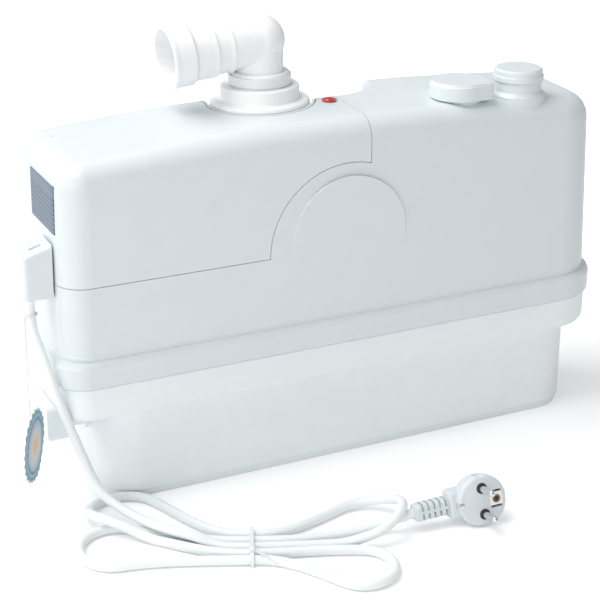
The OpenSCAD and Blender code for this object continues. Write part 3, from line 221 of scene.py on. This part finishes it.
lead_points = lead_line()
lead = curve_piece("mains_lead", lead_points, CORD_D / 2)
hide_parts("cord_drop", "cord_hank", "cord_tail")
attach(lead, "housing")


# Materials: plain procedural plastics, rubber, metals and card
def node(tree, kind, x=0, y=0, **values):
    n = tree.nodes.new(kind)
    n.location = (x, y)
    for k, v in values.items():
        if k in n.inputs:
            n.inputs[k].default_value = v
        else:
            setattr(n, k, v)
    return n


def surface(name, color, rough=0.35, metal=0.0, vary=0.02, scale=60.0, rough_vary=0.06, bump=0.04,
            bump_scale=900.0, coat=0.0, sss=0.0, spec=0.5, stretch=None, wear=None):
    m = bpy.data.materials.new(name)
    m.use_nodes = True
    t = m.node_tree
    shader = t.nodes["Principled BSDF"]
    shader.inputs["Metallic"].default_value = metal
    shader.inputs["Specular IOR Level"].default_value = spec
    if coat:
        shader.inputs["Coat Weight"].default_value = coat
        shader.inputs["Coat Roughness"].default_value = 0.12
    if sss:
        shader.inputs["Subsurface Weight"].default_value = sss
        shader.inputs["Subsurface Radius"].default_value = (0.004, 0.004, 0.004)
        shader.inputs["Subsurface Scale"].default_value = 1.0
    coord = node(t, "ShaderNodeTexCoord", -1200, 0)
    place = node(t, "ShaderNodeMapping", -1000, 0)
    if stretch:
        place.inputs["Scale"].default_value = stretch
    t.links.new(coord.outputs["Object"], place.inputs["Vector"])
    broad = node(t, "ShaderNodeTexNoise", -800, 200, Scale=scale, Detail=4.0, Roughness=0.55)
    t.links.new(place.outputs["Vector"], broad.inputs["Vector"])
    ramp = node(t, "ShaderNodeValToRGB", -550, 250)
    dark = [max(0.0, c * (1 - 2 * vary)) for c in color]
    light = [min(1.0, c * (1 + vary)) for c in color]
    ramp.color_ramp.elements[0].position = 0.3
    ramp.color_ramp.elements[1].position = 0.7
    ramp.color_ramp.elements[0].color = (*dark, 1)
    ramp.color_ramp.elements[1].color = (*light, 1)
    t.links.new(broad.outputs["Fac"], ramp.inputs["Fac"])
    t.links.new(ramp.outputs["Color"], shader.inputs["Base Color"])
    spread = node(t, "ShaderNodeMapRange", -550, -50)
    spread.inputs["To Min"].default_value = max(0.02, rough - rough_vary)
    spread.inputs["To Max"].default_value = min(1.0, rough + rough_vary)
    t.links.new(broad.outputs["Fac"], spread.inputs["Value"])
    t.links.new(spread.outputs["Result"], shader.inputs["Roughness"])
    fine = node(t, "ShaderNodeTexNoise", -800, -300, Scale=bump_scale, Detail=3.0)
    t.links.new(place.outputs["Vector"], fine.inputs["Vector"])
    push = node(t, "ShaderNodeBump", -400, -300, Strength=bump, Distance=0.0004)
    t.links.new(fine.outputs["Fac"], push.inputs["Height"])
    t.links.new(push.outputs["Normal"], shader.inputs["Normal"])
    m["fade"] = 0
    return m


MATS = {
    "shell": surface("shell_plastic", (0.725, 0.78, 0.798), 0.3, coat=0.12, vary=0.006, bump=0.015),
    "tank_white": surface("tank_plastic", (0.87, 0.915, 0.925), 0.34, coat=0.1, vary=0.008, bump=0.02),
    "gasket": surface("seam_gasket", (0.7, 0.72, 0.73), 0.7, bump=0.1),
    "inner_plastic": surface("inner_plastic", (0.5, 0.52, 0.55), 0.5, bump=0.08),
    "sleeve": surface("sleeve_rubber", (0.975, 0.98, 0.982), 0.42, bump=0.08, bump_scale=1200),
    "elbow": surface("elbow_plastic", (0.95, 0.955, 0.958), 0.26, coat=0.12, vary=0.008, bump=0.02),
    "grey_rubber": surface("grey_rubber", (0.2, 0.21, 0.22), 0.6, bump=0.12),
    "steel": surface("steel", (0.62, 0.63, 0.65), 0.28, metal=1.0, bump=0.08, stretch=(1, 1, 12)),
    "lens": surface("red_lens", (0.5, 0.025, 0.018), 0.12, coat=0.6, vary=0.08, bump=0.02),
    "filter": surface("carbon_fleece", (0.03, 0.03, 0.03), 0.9, bump=0.5, bump_scale=500),
    "black_plastic": surface("black_plastic", (0.03, 0.03, 0.035), 0.4, bump=0.1),
    "cast": surface("cast_metal", (0.45, 0.46, 0.48), 0.42, metal=1.0, bump=0.2, bump_scale=300),
    "stator": surface("stator_sheets", (0.25, 0.25, 0.27), 0.45, metal=1.0, bump=0.25, stretch=(0.1, 0.1, 20)),
    "bearing": surface("bearing_steel", (0.7, 0.7, 0.72), 0.12, metal=1.0),
    "blade": surface("blade_steel", (0.6, 0.61, 0.63), 0.3, metal=1.0, bump=0.1, stretch=(1, 14, 1)),
    "cord": surface("cord_jacket", (0.88, 0.915, 0.92), 0.4, vary=0.01, bump=0.03, sss=0.05),
    "tie": surface("tie_plastic", (0.84, 0.86, 0.87), 0.25, coat=0.3, sss=0.1),
    "plug": surface("plug_plastic", (0.7, 0.75, 0.775), 0.33, vary=0.01, bump=0.04),
    "pins": surface("pin_metal", (0.75, 0.76, 0.78), 0.18, metal=1.0, bump=0.04),
    "earth": surface("earth_bronze", (0.36, 0.24, 0.11), 0.3, metal=1.0, bump=0.05),
    "thread": surface("thread", (0.8, 0.78, 0.74), 0.8, bump=0.3, bump_scale=3000),
}


def plate_material():
    """Bare foil plate: a plain header band over ruled fields, with nothing written in them."""
    m = surface("plate_foil", (0.15, 0.2, 0.27), 0.4, vary=0.03, bump=0.03)
    t = m.node_tree
    shader = t.nodes["Principled BSDF"]
    source = shader.inputs["Base Color"].links[0].from_socket
    coord = node(t, "ShaderNodeTexCoord", -1200, 600)
    split = node(t, "ShaderNodeSeparateXYZ", -1000, 600)
    t.links.new(coord.outputs["Object"], split.inputs["Vector"])
    rows = node(t, "ShaderNodeMath", -800, 700, operation="MULTIPLY")
    rows.inputs[1].default_value = 1 / 0.0034
    t.links.new(split.outputs["Z"], rows.inputs[0])
    part = node(t, "ShaderNodeMath", -650, 700, operation="FRACT")
    t.links.new(rows.outputs[0], part.inputs[0])
    rule = node(t, "ShaderNodeMath", -500, 700, operation="LESS_THAN")
    rule.inputs[1].default_value = 0.3
    t.links.new(part.outputs[0], rule.inputs[0])
    low = node(t, "ShaderNodeMath", -500, 900, operation="LESS_THAN")
    low.inputs[1].default_value = 0.2335
    t.links.new(split.outputs["Z"], low.inputs[0])
    both = node(t, "ShaderNodeMath", -350, 800, operation="MULTIPLY")
    t.links.new(rule.outputs[0], both.inputs[0])
    t.links.new(low.outputs[0], both.inputs[1])
    mix = node(t, "ShaderNodeMix", -200, 500, data_type="RGBA")
    mix.inputs["B"].default_value = (0.07, 0.1, 0.15, 1)
    t.links.new(both.outputs[0], mix.inputs["Factor"])
    t.links.new(source, mix.inputs["A"])
    t.links.new(mix.outputs["Result"], shader.inputs["Base Color"])
    return m


MATS["plate"] = plate_material()
MATS["tag"] = surface("tag_card", (0.75, 0.76, 0.7), 0.6, vary=0.03, bump=0.15)


def dress(ob, mat):
    ob.data.materials.clear()
    ob.data.materials.append(mat)


slot_of = {s["node"]: s["material_slot"] for s in frame["record"]["subparts"]}
for name, ob in nodes.items():
    for i in range(max(1, len(ob.material_slots))):
        if ob.material_slots:
            ob.material_slots[i].material = MATS[slot_of[name]]
dress(lead, MATS["cord"])

# Smooth copies of the moulded shells
body_of_node = {n: b for b, ns in frame["record"]["behaviour"]["bodies"].items() for n in ns}


# Seam round the service cover: its lower edge, right edge and arc, in millimetres
SEAM_Z, SEAM_X, ARC_AT, ARC_R, SEAM_CLOSE = 172, 13.5, (-3, 171), 64, 0.38


def narrow_seam(bm):
    """The moulded cover all but meets the housing at its skin: its edge faces move out by SEAM_CLOSE."""
    push = {}
    for f in bm.faces:
        pts = [v.co / MM for v in f.verts]
        if all(abs(q.z - SEAM_Z) < 0.06 for q in pts):
            way = Vector((0, 0, -1))
        elif all(abs(q.x - SEAM_X) < 0.06 for q in pts):
            way = Vector((1, 0, 0))
        elif all(abs(math.hypot(q.x - ARC_AT[0], q.z - ARC_AT[1]) - ARC_R) < 0.12 for q in pts):
            way = None
        else:
            continue
        for v in f.verts:
            w = way or Vector((ARC_AT[0] - v.co.x / MM, 0, ARC_AT[1] - v.co.z / MM)).normalized()
            push.setdefault(v, []).append(w)
    for v, ways in push.items():
        flat = []
        for w in ways:
            if all((w - k).length > 0.3 for k in flat):
                flat.append(w)
        v.co += sum(flat, Vector()) * SEAM_CLOSE * MM


def smooth_copy(node_name, bevel=0.0, segments=2, deg=30):
    src = nodes[node_name].data
    bm = bmesh.new()
    bm.from_mesh(src)
    bmesh.ops.remove_doubles(bm, verts=bm.verts, dist=0.00002)
    if node_name == "service_cover":
        narrow_seam(bm)
    bmesh.ops.dissolve_limit(bm, angle_limit=rad(0.4), verts=bm.verts, edges=bm.edges)
    ob = link(node_name + "_moulded", mesh_of(bm, node_name + "_moulded", deg))
    if bevel:
        mod = ob.modifiers.new("edge", "BEVEL")
        mod.width = bevel * MM
        mod.segments = segments
        mod.limit_method = "ANGLE"
        mod.angle_limit = rad(deg)
        mod.harden_normals = True
    weigh = ob.modifiers.new("normals", "WEIGHTED_NORMAL")
    weigh.keep_sharp = True
    dress(ob, MATS[slot_of[node_name]])
    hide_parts(node_name)
    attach(ob, body_of_node[node_name])
    return ob


for n, b in (("tank", 0.6), ("upper_housing", 0.25), ("service_cover", 0.25), ("side_cap", 1.2),
             ("vent_cap", 0.8), ("inlet_cap", 0.5), ("inlet_stub", 0.3), ("discharge_boot", 0.6),
             ("discharge_elbow", 0.4), ("boot_clamp", 0.3)):
    smooth_copy(n, b)


def piece(name, bm, mat, body, slot, *stands_for, smooth=38):
    ob = link(name, mesh_of(bm, name, smooth))
    dress(ob, mat)
    if stands_for:
        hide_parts(*stands_for)
    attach(ob, body)
    return ob


def revolve(bm, profile, place, n=64, closed=True):
    """Skin of revolution round local Z: profile holds (radius, height) in millimetres."""
    rings = []
    for r, z in profile:
        rings.append([bm.verts.new(place @ (Vector((r * math.cos(2 * math.pi * k / n),
                                                    r * math.sin(2 * math.pi * k / n), z)) * MM)) for k in range(n)])
    last = len(rings) if closed else len(rings) - 1
    for i in range(last):
        a, b = rings[i], rings[(i + 1) % len(rings)]
        for k in range(n):
            bm.faces.new((a[k], a[(k + 1) % n], b[(k + 1) % n], b[k]))
    if not closed:
        bm.faces.new(rings[0][::-1])
        bm.faces.new(rings[-1])


def soft_box(bm, lo, hi, place, r=1.0, steps=3):
    """Box with rounded edges: lo and hi in millimetres, in place's own axes."""
    start = len(bm.verts)
    got = bmesh.ops.create_cube(bm, size=1.0)["verts"]
    c = [(a + b) / 2 for a, b in zip(lo, hi)]
    d = [b - a for a, b in zip(lo, hi)]
    for v in got:
        v.co = Vector((c[0] + v.co.x * d[0], c[1] + v.co.y * d[1], c[2] + v.co.z * d[2])) * MM
    edges = list({e for v in got for e in v.link_edges})
    made = bmesh.ops.bevel(bm, geom=edges, offset=r * MM, segments=steps, affect="EDGES", profile=0.5)
    bm.verts.ensure_lookup_table()
    for v in bm.verts[start:]:
        v.co = place @ v.co


# Cable box: soft edges all round, a sloping lid with an oval slot; its back follows the leaning wall
def wall_x(z):
    return -220.0 + 3.0 * max(0.0, z - 122.0) / 128.5


BOX_Y, BOX_FRONT, BOX_Z0 = (-35.5, -10.0), -240.0, 160.5
bm = bmesh.new()
corner = {}
for sy, y in enumerate(BOX_Y):
    for sx in (0, 1):
        for sz in (0, 1):
            top = 193.6 if sx == 0 else 199.8
            z = top if sz else BOX_Z0
            x = BOX_FRONT if sx == 0 else wall_x(z) - 1.2
            corner[sx, sy, sz] = bm.verts.new((x * MM, y * MM, z * MM))
for keys in (((0, 0, 0), (0, 1, 0), (1, 1, 0), (1, 0, 0)), ((0, 0, 1), (1, 0, 1), (1, 1, 1), (0, 1, 1)),
             ((0, 0, 0), (1, 0, 0), (1, 0, 1), (0, 0, 1)), ((0, 1, 0), (0, 1, 1), (1, 1, 1), (1, 1, 0)),
             ((0, 0, 0), (0, 0, 1), (0, 1, 1), (0, 1, 0)), ((1, 0, 0), (1, 1, 0), (1, 1, 1), (1, 0, 1))):
    bm.faces.new([corner[k] for k in keys])
bmesh.ops.recalc_face_normals(bm, faces=bm.faces)


def edge_of(a, b):
    return next(e for e in corner[a].link_edges if e.other_vert(corner[a]) == corner[b])


big = [edge_of((0, 0, 0), (0, 0, 1)), edge_of((0, 1, 0), (0, 1, 1)), edge_of((0, 0, 1), (0, 1, 1)),
       edge_of((0, 0, 1), (1, 0, 1)), edge_of((0, 1, 1), (1, 1, 1))]
small = [edge_of((0, 0, 0), (1, 0, 0)), edge_of((0, 0, 0), (0, 1, 0)), edge_of((0, 1, 0), (1, 1, 0))]
bmesh.ops.bevel(bm, geom=big + small, offset=3.2 * MM, segments=6, affect="EDGES", profile=0.5, clamp_overlap=True)
box_ob = piece("cable_box_shell", bm, MATS["shell"], "housing", slot_of["cable_box"], "cable_box", smooth=50)
cut = bmesh.new()
slant = Matrix.Translation((-229.0 * MM, -26.5 * MM, 197.0 * MM)) @ Matrix.Rotation(-math.atan2(6.2, 21.0), 4, "Y")
soft_box(cut, (-4.6, -1.7, -3.2), (4.6, 1.7, 4.0), slant, 1.6, 5)
cutter = bpy.data.objects.new("slot_cut", mesh_of(cut, "slot_cut"))
bpy.context.scene.collection.objects.link(cutter)
mod = box_ob.modifiers.new("slot", "BOOLEAN")
mod.object = cutter
mod.operation = "DIFFERENCE"
mod.solver = "EXACT"
bpy.context.view_layer.update()
shaped = bpy.data.meshes.new_from_object(box_ob.evaluated_get(bpy.context.evaluated_depsgraph_get()))
box_ob.modifiers.clear()
box_ob.data = shaped
finish_smooth(shaped, 50)
bpy.data.objects.remove(cutter, do_unlink=True)

# Plug: domed body with a flat face, collars round the pins, earth contact in its square well, ribbed relief
AT = Matrix.Translation(PLUG_AT * MM) @ PLUG_TURN.to_4x4()
PLUG_R, PLUG_BACK, PIN_Y = 18.5, 24.0, 9.5
# The moulding is flat where it would meet the floor
PLUG_CLEAR = 0.2


def dome_profile():
    out = [(0.0, -PLUG_BACK), (10.0, -PLUG_BACK)]
    for k in range(13):
        a = k / 12
        out.append((10.0 + (PLUG_R - 10.0) * math.sin(a * math.pi / 2) ** 0.8,
                    -PLUG_BACK + 0.6 + (PLUG_BACK - 4.6) * a ** 1.25))
    out += [(PLUG_R, -3.4), (PLUG_R - 0.15, -2.2), (PLUG_R - 0.6, -1.1), (PLUG_R - 1.3, -0.35), (PLUG_R - 2.2, 0.0),
            (0.0, 0.0)]
    return out


bm = bmesh.new()
revolve(bm, [(max(r, 0.01), z) for r, z in dome_profile()], AT, 72, closed=False)
for v in bm.verts:
    v.co.z = max(v.co.z, PLUG_CLEAR * MM)
plug = piece("plug_shell", bm, MATS["plug"], "housing", "plug", "plug_body", smooth=30)
cut = bmesh.new()
for s in (-1, 1):
    # guide grooves at the rim, above and below
    soft_box(cut, (-3.2, s * PLUG_R - (0 if s > 0 else 3.2), -9.0), (3.2, s * PLUG_R + (3.2 if s > 0 else 0), 3.0),
             AT @ Matrix.Translation((0, -s * 1.6 * MM, 0)), 0.8)
    # a notch at the rim, and the square well round the earth contact
soft_box(cut, (PLUG_R - 1.2, -2.2, -12.0), (PLUG_R + 3, 2.2, 3.0), AT, 0.3)
soft_box(cut, (5.6, -6.4, -3.4), (14.4, 6.4, 2.0), AT, 0.5)
cutter = bpy.data.objects.new("plug_cut", mesh_of(cut, "plug_cut"))
bpy.context.scene.collection.objects.link(cutter)
mod = plug.modifiers.new("wells", "BOOLEAN")
mod.object = cutter
mod.operation = "DIFFERENCE"
mod.solver = "EXACT"
bpy.context.view_layer.update()
shaped = bpy.data.meshes.new_from_object(plug.evaluated_get(bpy.context.evaluated_depsgraph_get()))
plug.modifiers.clear()
plug.data = shaped
finish_smooth(shaped, 30)
bpy.data.objects.remove(cutter, do_unlink=True)

bm = bmesh.new()
for s in (-1, 1):
    pin_at = AT @ Matrix.Translation((0, s * PIN_Y * MM, 0))
    revolve(bm, [(2.42, -1.0), (3.9, -1.0), (3.9, 0.25), (3.6, 0.5), (2.42, 0.5)], pin_at, 40)
soft_box(bm, (5.7, -6.3, -3.5), (14.3, 6.3, -2.6), AT, 0.2)
piece("plug_collars", bm, MATS["black_plastic"], "housing", "plug")

bm = bmesh.new()
EARTH_AT = AT @ Matrix.Translation((10.0 * MM, 0, 0))
soft_box(bm, (5.5, -4.7, -2.9), (14.5, 4.7, 0.35), AT, 0.5)
piece("plug_earth_block", bm, MATS["elbow"], "housing", "plug")
bm = bmesh.new()
revolve(bm, [(1.75, 0.3), (2.9, 0.3), (3.1, 0.55), (2.9, 0.75), (1.9, 0.75), (1.75, 0.55)], EARTH_AT, 32)
piece("plug_earth_ring", bm, MATS["earth"], "housing", "earth", "plug_earth")
# Painted shade: a thin black disc fills the earth ring's opening in place of the dark depth of its bore
bm = bmesh.new()
revolve(bm, [(0.01, 0.3), (1.9, 0.3), (1.9, 0.5), (0.01, 0.45)], EARTH_AT, 32, closed=False)
piece("plug_earth_bore_shade", bm, MATS["black_plastic"], "housing", "earth")

bm = bmesh.new()
soft_box(bm, (-PLUG_R - 0.35, -2.2, -11.5), (-PLUG_R + 0.8, 2.2, -1.5), AT, 0.5)
soft_box(bm, (-PLUG_R + 0.2, -2.0, -1.6), (-PLUG_R + 4.5, 2.0, 0.3), AT, 0.5)
piece("plug_side_clip", bm, MATS["pins"], "housing", "pins")

# Neck block between the relief and the body
bm = bmesh.new()
soft_box(bm, (-23.0, -10.0, -19.4), (-6.0, 10.0, -4.8), AT, 2.4, 4)
piece("plug_neck", bm, MATS["plug"], "housing", "plug")

# Relief: a square-section sleeve with two rows of five cuts
bm = bmesh.new()
R0 = RELIEF[0]
soft_box(bm, (R0, -6.1, RELIEF[2] - 6.1), (R0 + 27.0, 6.1, RELIEF[2] + 6.1), AT, 3.0, 5)
relief = piece("plug_relief", bm, MATS["plug"], "housing", "plug")
cut = bmesh.new()
for k in range(5):
    x = R0 + 5.0 + 4.4 * k
    for lo, hi in ((-8.0, -0.9), (0.9, 8.0)):
        soft_box(cut, (x, lo, RELIEF[2] - 4.2), (x + 1.5, hi, RELIEF[2] + 8), AT, 0.4)
cutter = bpy.data.objects.new("relief_cut", mesh_of(cut, "relief_cut"))
bpy.context.scene.collection.objects.link(cutter)
mod = relief.modifiers.new("ribs", "BOOLEAN")
mod.object = cutter
mod.operation = "DIFFERENCE"
mod.solver = "EXACT"
bpy.context.view_layer.update()
shaped = bpy.data.meshes.new_from_object(relief.evaluated_get(bpy.context.evaluated_depsgraph_get()))
relief.modifiers.clear()
relief.data = shaped
finish_smooth(shaped, 30)
bpy.data.objects.remove(cutter, do_unlink=True)
bm = bmesh.new()
revolve(bm, [(0.01, 0.0), (3.6, 0.0), (3.6, 26.0), (0.01, 26.0)],
        AT @ Matrix.Translation((R0 * MM, 0, RELIEF[2] * MM)) @ Matrix.Rotation(math.pi / 2, 4, "Y"), 32, closed=False)
piece("plug_relief_core", bm, MATS["plug"], "housing", "plug")

# Tie: a thin clear band round the strands, its eye on top and its loose tail
TIE_AT = Matrix.Translation((TIE[0] * MM, TIE[1] * MM, 0)) @ Matrix.Rotation(rad(TIE[2]), 4, "Z")
half = 5 * CORD_D / 2 + 2 * (PITCH - CORD_D) + 0.8
top_z = LIE + CORD_D / 2 + 0.9


def band_outline(grow):
    h, t, r = half + grow, top_z + grow, 3.4 + grow
    pts = [(-h, 0.25 if grow < 0.01 else 0.05), (h, 0.25 if grow < 0.01 else 0.05)]
    for k in range(7):
        a = math.pi / 2 * k / 6
        pts.append((h - r + r * math.cos(a), t - r + r * math.sin(a)))
    for k in range(7):
        a = math.pi / 2 + math.pi / 2 * k / 6
        pts.append((-h + r + r * math.cos(a), t - r + r * math.sin(a)))
    return pts


bm = bmesh.new()
inner, outer = band_outline(0.0), band_outline(0.55)
loops = []
for x in (-1.3, 1.3):
    loops.append([[bm.verts.new(TIE_AT @ (Vector((x, y, z)) * MM)) for y, z in line] for line in (inner, outer)])
count = len(inner)
for k in range(count):
    n2 = (k + 1) % count
    (i0, o0), (i1, o1) = loops
    bm.faces.new((o0[k], o0[n2], o1[n2], o1[k]))
    bm.faces.new((i0[n2], i0[k], i1[k], i1[n2]))
    bm.faces.new((i0[k], i0[n2], o0[n2], o0[k]))
    bm.faces.new((o1[k], o1[n2], i1[n2], i1[k]))
bmesh.ops.recalc_face_normals(bm, faces=bm.faces)
soft_box(bm, (-2.0, -half + 6.0, top_z + 0.3), (2.2, -half + 10.0, top_z + 3.4), TIE_AT, 0.8)
piece("tie_band", bm, MATS["tie"], "housing", "tie", "cord_tie", smooth=50)


def strap(name, points, wide, thick, mat, body, slot):
    """Thin flat strap along points, in millimetres, lying flat."""
    b2 = bmesh.new()
    rows = []
    for i, q in enumerate(points):
        ahead = (points[min(i + 1, len(points) - 1)] - points[max(i - 1, 0)]).normalized()
        side = ahead.cross(Vector((0, 0, 1))).normalized() * wide / 2
        up = side.cross(ahead).normalized() * thick / 2
        rows.append([b2.verts.new((q + a * side + b * up) * MM) for a, b in ((-1, -1), (1, -1), (1, 1), (-1, 1))])
    for a, b in zip(rows, rows[1:]):
        for k in range(4):
            b2.faces.new((a[k], a[(k + 1) % 4], b[(k + 1) % 4], b[k]))
    b2.faces.new(rows[0][::-1])
    b2.faces.new(rows[-1])
    bmesh.ops.recalc_face_normals(b2, faces=b2.faces)
    return piece(name, b2, mat, body, slot, smooth=60)


tail = []
for k in range(15):
    a = k / 14
    q = TIE_AT @ (Vector((0.5 + 17 * a, -half + 7.5 - 9 * a, 0)) * MM) / MM
    tail.append(Vector((q.x, q.y, top_z + 1.6 - 6.5 * a ** 1.6)))
strap("tie_tail", tail, 2.2, 0.7, MATS["tie"], "housing", "tie")

# Paper tag: a thin scalloped disc with printed rings
TAG_AT = Matrix.Translation(((EXIT[0] - 8) * MM, (EXIT[1] - 16) * MM, 57.5 * MM)) \
    @ Matrix.Rotation(rad(59), 4, "Z") @ Matrix.Rotation(math.pi / 2, 4, "X")
TAG_R, TAG_LOBES = 24.2, 24
bm = bmesh.new()
edge_n = TAG_LOBES * 8
faces = []
for z, flip in ((-0.2, True), (0.2, False)):
    rings = []
    for m in range(1, 13):
        f = m / 12
        row = []
        for k in range(edge_n):
            a = 2 * math.pi * k / edge_n
            wave = abs(math.sin(a * TAG_LOBES / 2)) * 2.6 * max(0.0, f - 0.9) * 10
            r = TAG_R * f + wave
            bend = 1.1 * math.sin(r * math.sin(a) / 16 + 0.6) + 0.5 * math.cos(r * math.cos(a) / 9)
            row.append(bm.verts.new(TAG_AT @ (Vector((r * math.cos(a), r * math.sin(a), z + bend)) * MM)))
        rings.append(row)
    mid = bm.verts.new(TAG_AT @ (Vector((0, 0, z + 1.1 * math.sin(0.6) + 0.5)) * MM))
    for k in range(edge_n):
        tri = (mid, rings[0][k], rings[0][(k + 1) % edge_n])
        bm.faces.new(tri[::-1] if flip else tri)
    for a_row, b_row in zip(rings, rings[1:]):
        for k in range(edge_n):
            quad = (a_row[k], b_row[k], b_row[(k + 1) % edge_n], a_row[(k + 1) % edge_n])
            bm.faces.new(quad[::-1] if flip else quad)
    faces.append(rings[-1])
for k in range(edge_n):
    n2 = (k + 1) % edge_n
    bm.faces.new((faces[0][k], faces[0][n2], faces[1][n2], faces[1][k]))


def tag_material():
    """Printed card: rings of blue round a cream field with a plain warm spot, by distance from the middle."""
    m = surface("tag_print", (0.8, 0.8, 0.74), 0.55, vary=0.03, bump=0.1)
    t = m.node_tree
    shader = t.nodes["Principled BSDF"]
    coord = node(t, "ShaderNodeTexCoord", -1400, 700)
    turn = node(t, "ShaderNodeVectorMath", -1200, 700, operation="DISTANCE")
    turn.inputs[1].default_value = tuple(TAG_AT.translation)
    t.links.new(coord.outputs["Object"], turn.inputs[0])
    far = node(t, "ShaderNodeMapRange", -1000, 700)
    far.inputs["From Max"].default_value = 0.028
    t.links.new(turn.outputs["Value"], far.inputs["Value"])
    wob = node(t, "ShaderNodeTexNoise", -1200, 950, Scale=230.0, Detail=2.0)
    t.links.new(coord.outputs["Object"], wob.inputs["Vector"])
    add = node(t, "ShaderNodeMath", -820, 800, operation="MULTIPLY_ADD")
    add.inputs[1].default_value = 0.12
    t.links.new(wob.outputs["Fac"], add.inputs[0])
    t.links.new(far.outputs["Result"], add.inputs[2])
    ramp = node(t, "ShaderNodeValToRGB", -600, 700)
    stops = [(0.0, (0.78, 0.5, 0.25)), (0.26, (0.82, 0.58, 0.34)), (0.36, (0.7, 0.67, 0.56)),
             (0.55, (0.58, 0.62, 0.68)), (0.68, (0.42, 0.52, 0.62)), (0.75, (0.12, 0.24, 0.38)),
             (0.82, (0.42, 0.58, 0.68)), (0.9, (0.14, 0.3, 0.42)), (0.98, (0.5, 0.58, 0.5)), (1.0, (0.3, 0.42, 0.46))]
    while len(ramp.color_ramp.elements) < len(stops):
        ramp.color_ramp.elements.new(0.5)
    for e, (at, c) in zip(ramp.color_ramp.elements, stops):
        e.position = at
        e.color = (*c, 1)
    t.links.new(add.outputs[0], ramp.inputs["Fac"])
    t.links.new(ramp.outputs["Color"], shader.inputs["Base Color"])
    return m


MATS["tag"] = tag_material()
piece("paper_tag", bm, MATS["tag"], "housing", "tag", "hang_tag", smooth=40)

# Stage: floor, world and soft studio lights
FLOOR_HALF = 6.0
# Floor glow for the camera alone: distances from the object, in metres, and the strengths there
GLOW_NEAR, GLOW_FAR = (0.35, 0.2), (1.3, 0.7)
WORLD_TINT = (0.98, 0.99, 1.0, 1)
WORLD_STRENGTH = 0.475
WHITE = (1, 1, 1, 1)


def floor_glow(tree):
    """Whitens the paper for the camera, more so away from the object, where no shadow falls."""
    shader = tree.nodes["Principled BSDF"]
    shader.inputs["Emission Color"].default_value = WHITE
    ray = node(tree, "ShaderNodeLightPath", -300, 400)
    spot = node(tree, "ShaderNodeTexCoord", -700, 600)
    away = node(tree, "ShaderNodeVectorMath", -500, 600, operation="LENGTH")
    rise = node(tree, "ShaderNodeMapRange", -300, 600)
    for name, value in zip(("From Min", "To Min", "From Max", "To Max"), GLOW_NEAR + GLOW_FAR):
        rise.inputs[name].default_value = value
    lift = node(tree, "ShaderNodeMath", -100, 400, operation="MULTIPLY")
    tree.links.new(spot.outputs["Object"], away.inputs[0])
    tree.links.new(away.outputs["Value"], rise.inputs["Value"])
    tree.links.new(ray.outputs["Is Camera Ray"], lift.inputs[0])
    tree.links.new(rise.outputs["Result"], lift.inputs[1])
    tree.links.new(lift.outputs[0], shader.inputs["Emission Strength"])


def studio_world():
    """Even studio light, seen as plain white by the camera."""
    world = bpy.data.worlds.new("studio")
    bpy.context.scene.world = world
    world.use_nodes = True
    tree = world.node_tree
    tree.nodes.clear()
    out = node(tree, "ShaderNodeOutputWorld", 400)
    mix = node(tree, "ShaderNodeMixShader", 200)
    ray = node(tree, "ShaderNodeLightPath", 0, 300)
    lit = node(tree, "ShaderNodeBackground", 0)
    seen = node(tree, "ShaderNodeBackground", 0, -200)
    lit.inputs["Color"].default_value = WORLD_TINT
    lit.inputs["Strength"].default_value = WORLD_STRENGTH
    seen.inputs["Color"].default_value = WHITE
    tree.links.new(ray.outputs["Is Camera Ray"], mix.inputs["Fac"])
    tree.links.new(lit.outputs[0], mix.inputs[1])
    tree.links.new(seen.outputs[0], mix.inputs[2])
    tree.links.new(mix.outputs[0], out.inputs["Surface"])


bm = bmesh.new()
bmesh.ops.create_grid(bm, x_segments=1, y_segments=1, size=FLOOR_HALF)
floor = link("floor", mesh_of(bm, "floor"))
floor.location = (0, 0, 0)
dress(floor, surface("floor_paper", (0.97, 0.97, 0.97), 0.9, vary=0.002, rough_vary=0.02, bump=0.0, spec=0.0))
floor_glow(floor.data.materials[0].node_tree)
studio_world()


def area(name, at, aim, size, power, color=(1, 1, 1)):
    data = bpy.data.lights.new(name, "AREA")
    data.shape = "RECTANGLE"
    data.size, data.size_y = size
    data.energy = power
    data.color = color
    ob = bpy.data.objects.new(name, data)
    ob.location = at
    ob.rotation_euler = (Vector(aim) - Vector(at)).to_track_quat("-Z", "Y").to_euler()
    bpy.context.scene.collection.objects.link(ob)
    return ob


area("top", (-0.75, 0.25, 1.55), (-0.05, 0, 0.1), (1.6, 1.4), 26)
area("side", (-2.2, -0.25, 0.4), (0, 0, 0.1), (1.4, 0.8), 3)
area("front", (-1.6, -2.0, 0.7), (0, 0, 0.12), (2.0, 1.2), 12)

scene = bpy.context.scene
scene.view_settings.view_transform = "Standard"
scene.view_settings.look = "None"

bpy.context.view_layer.update()
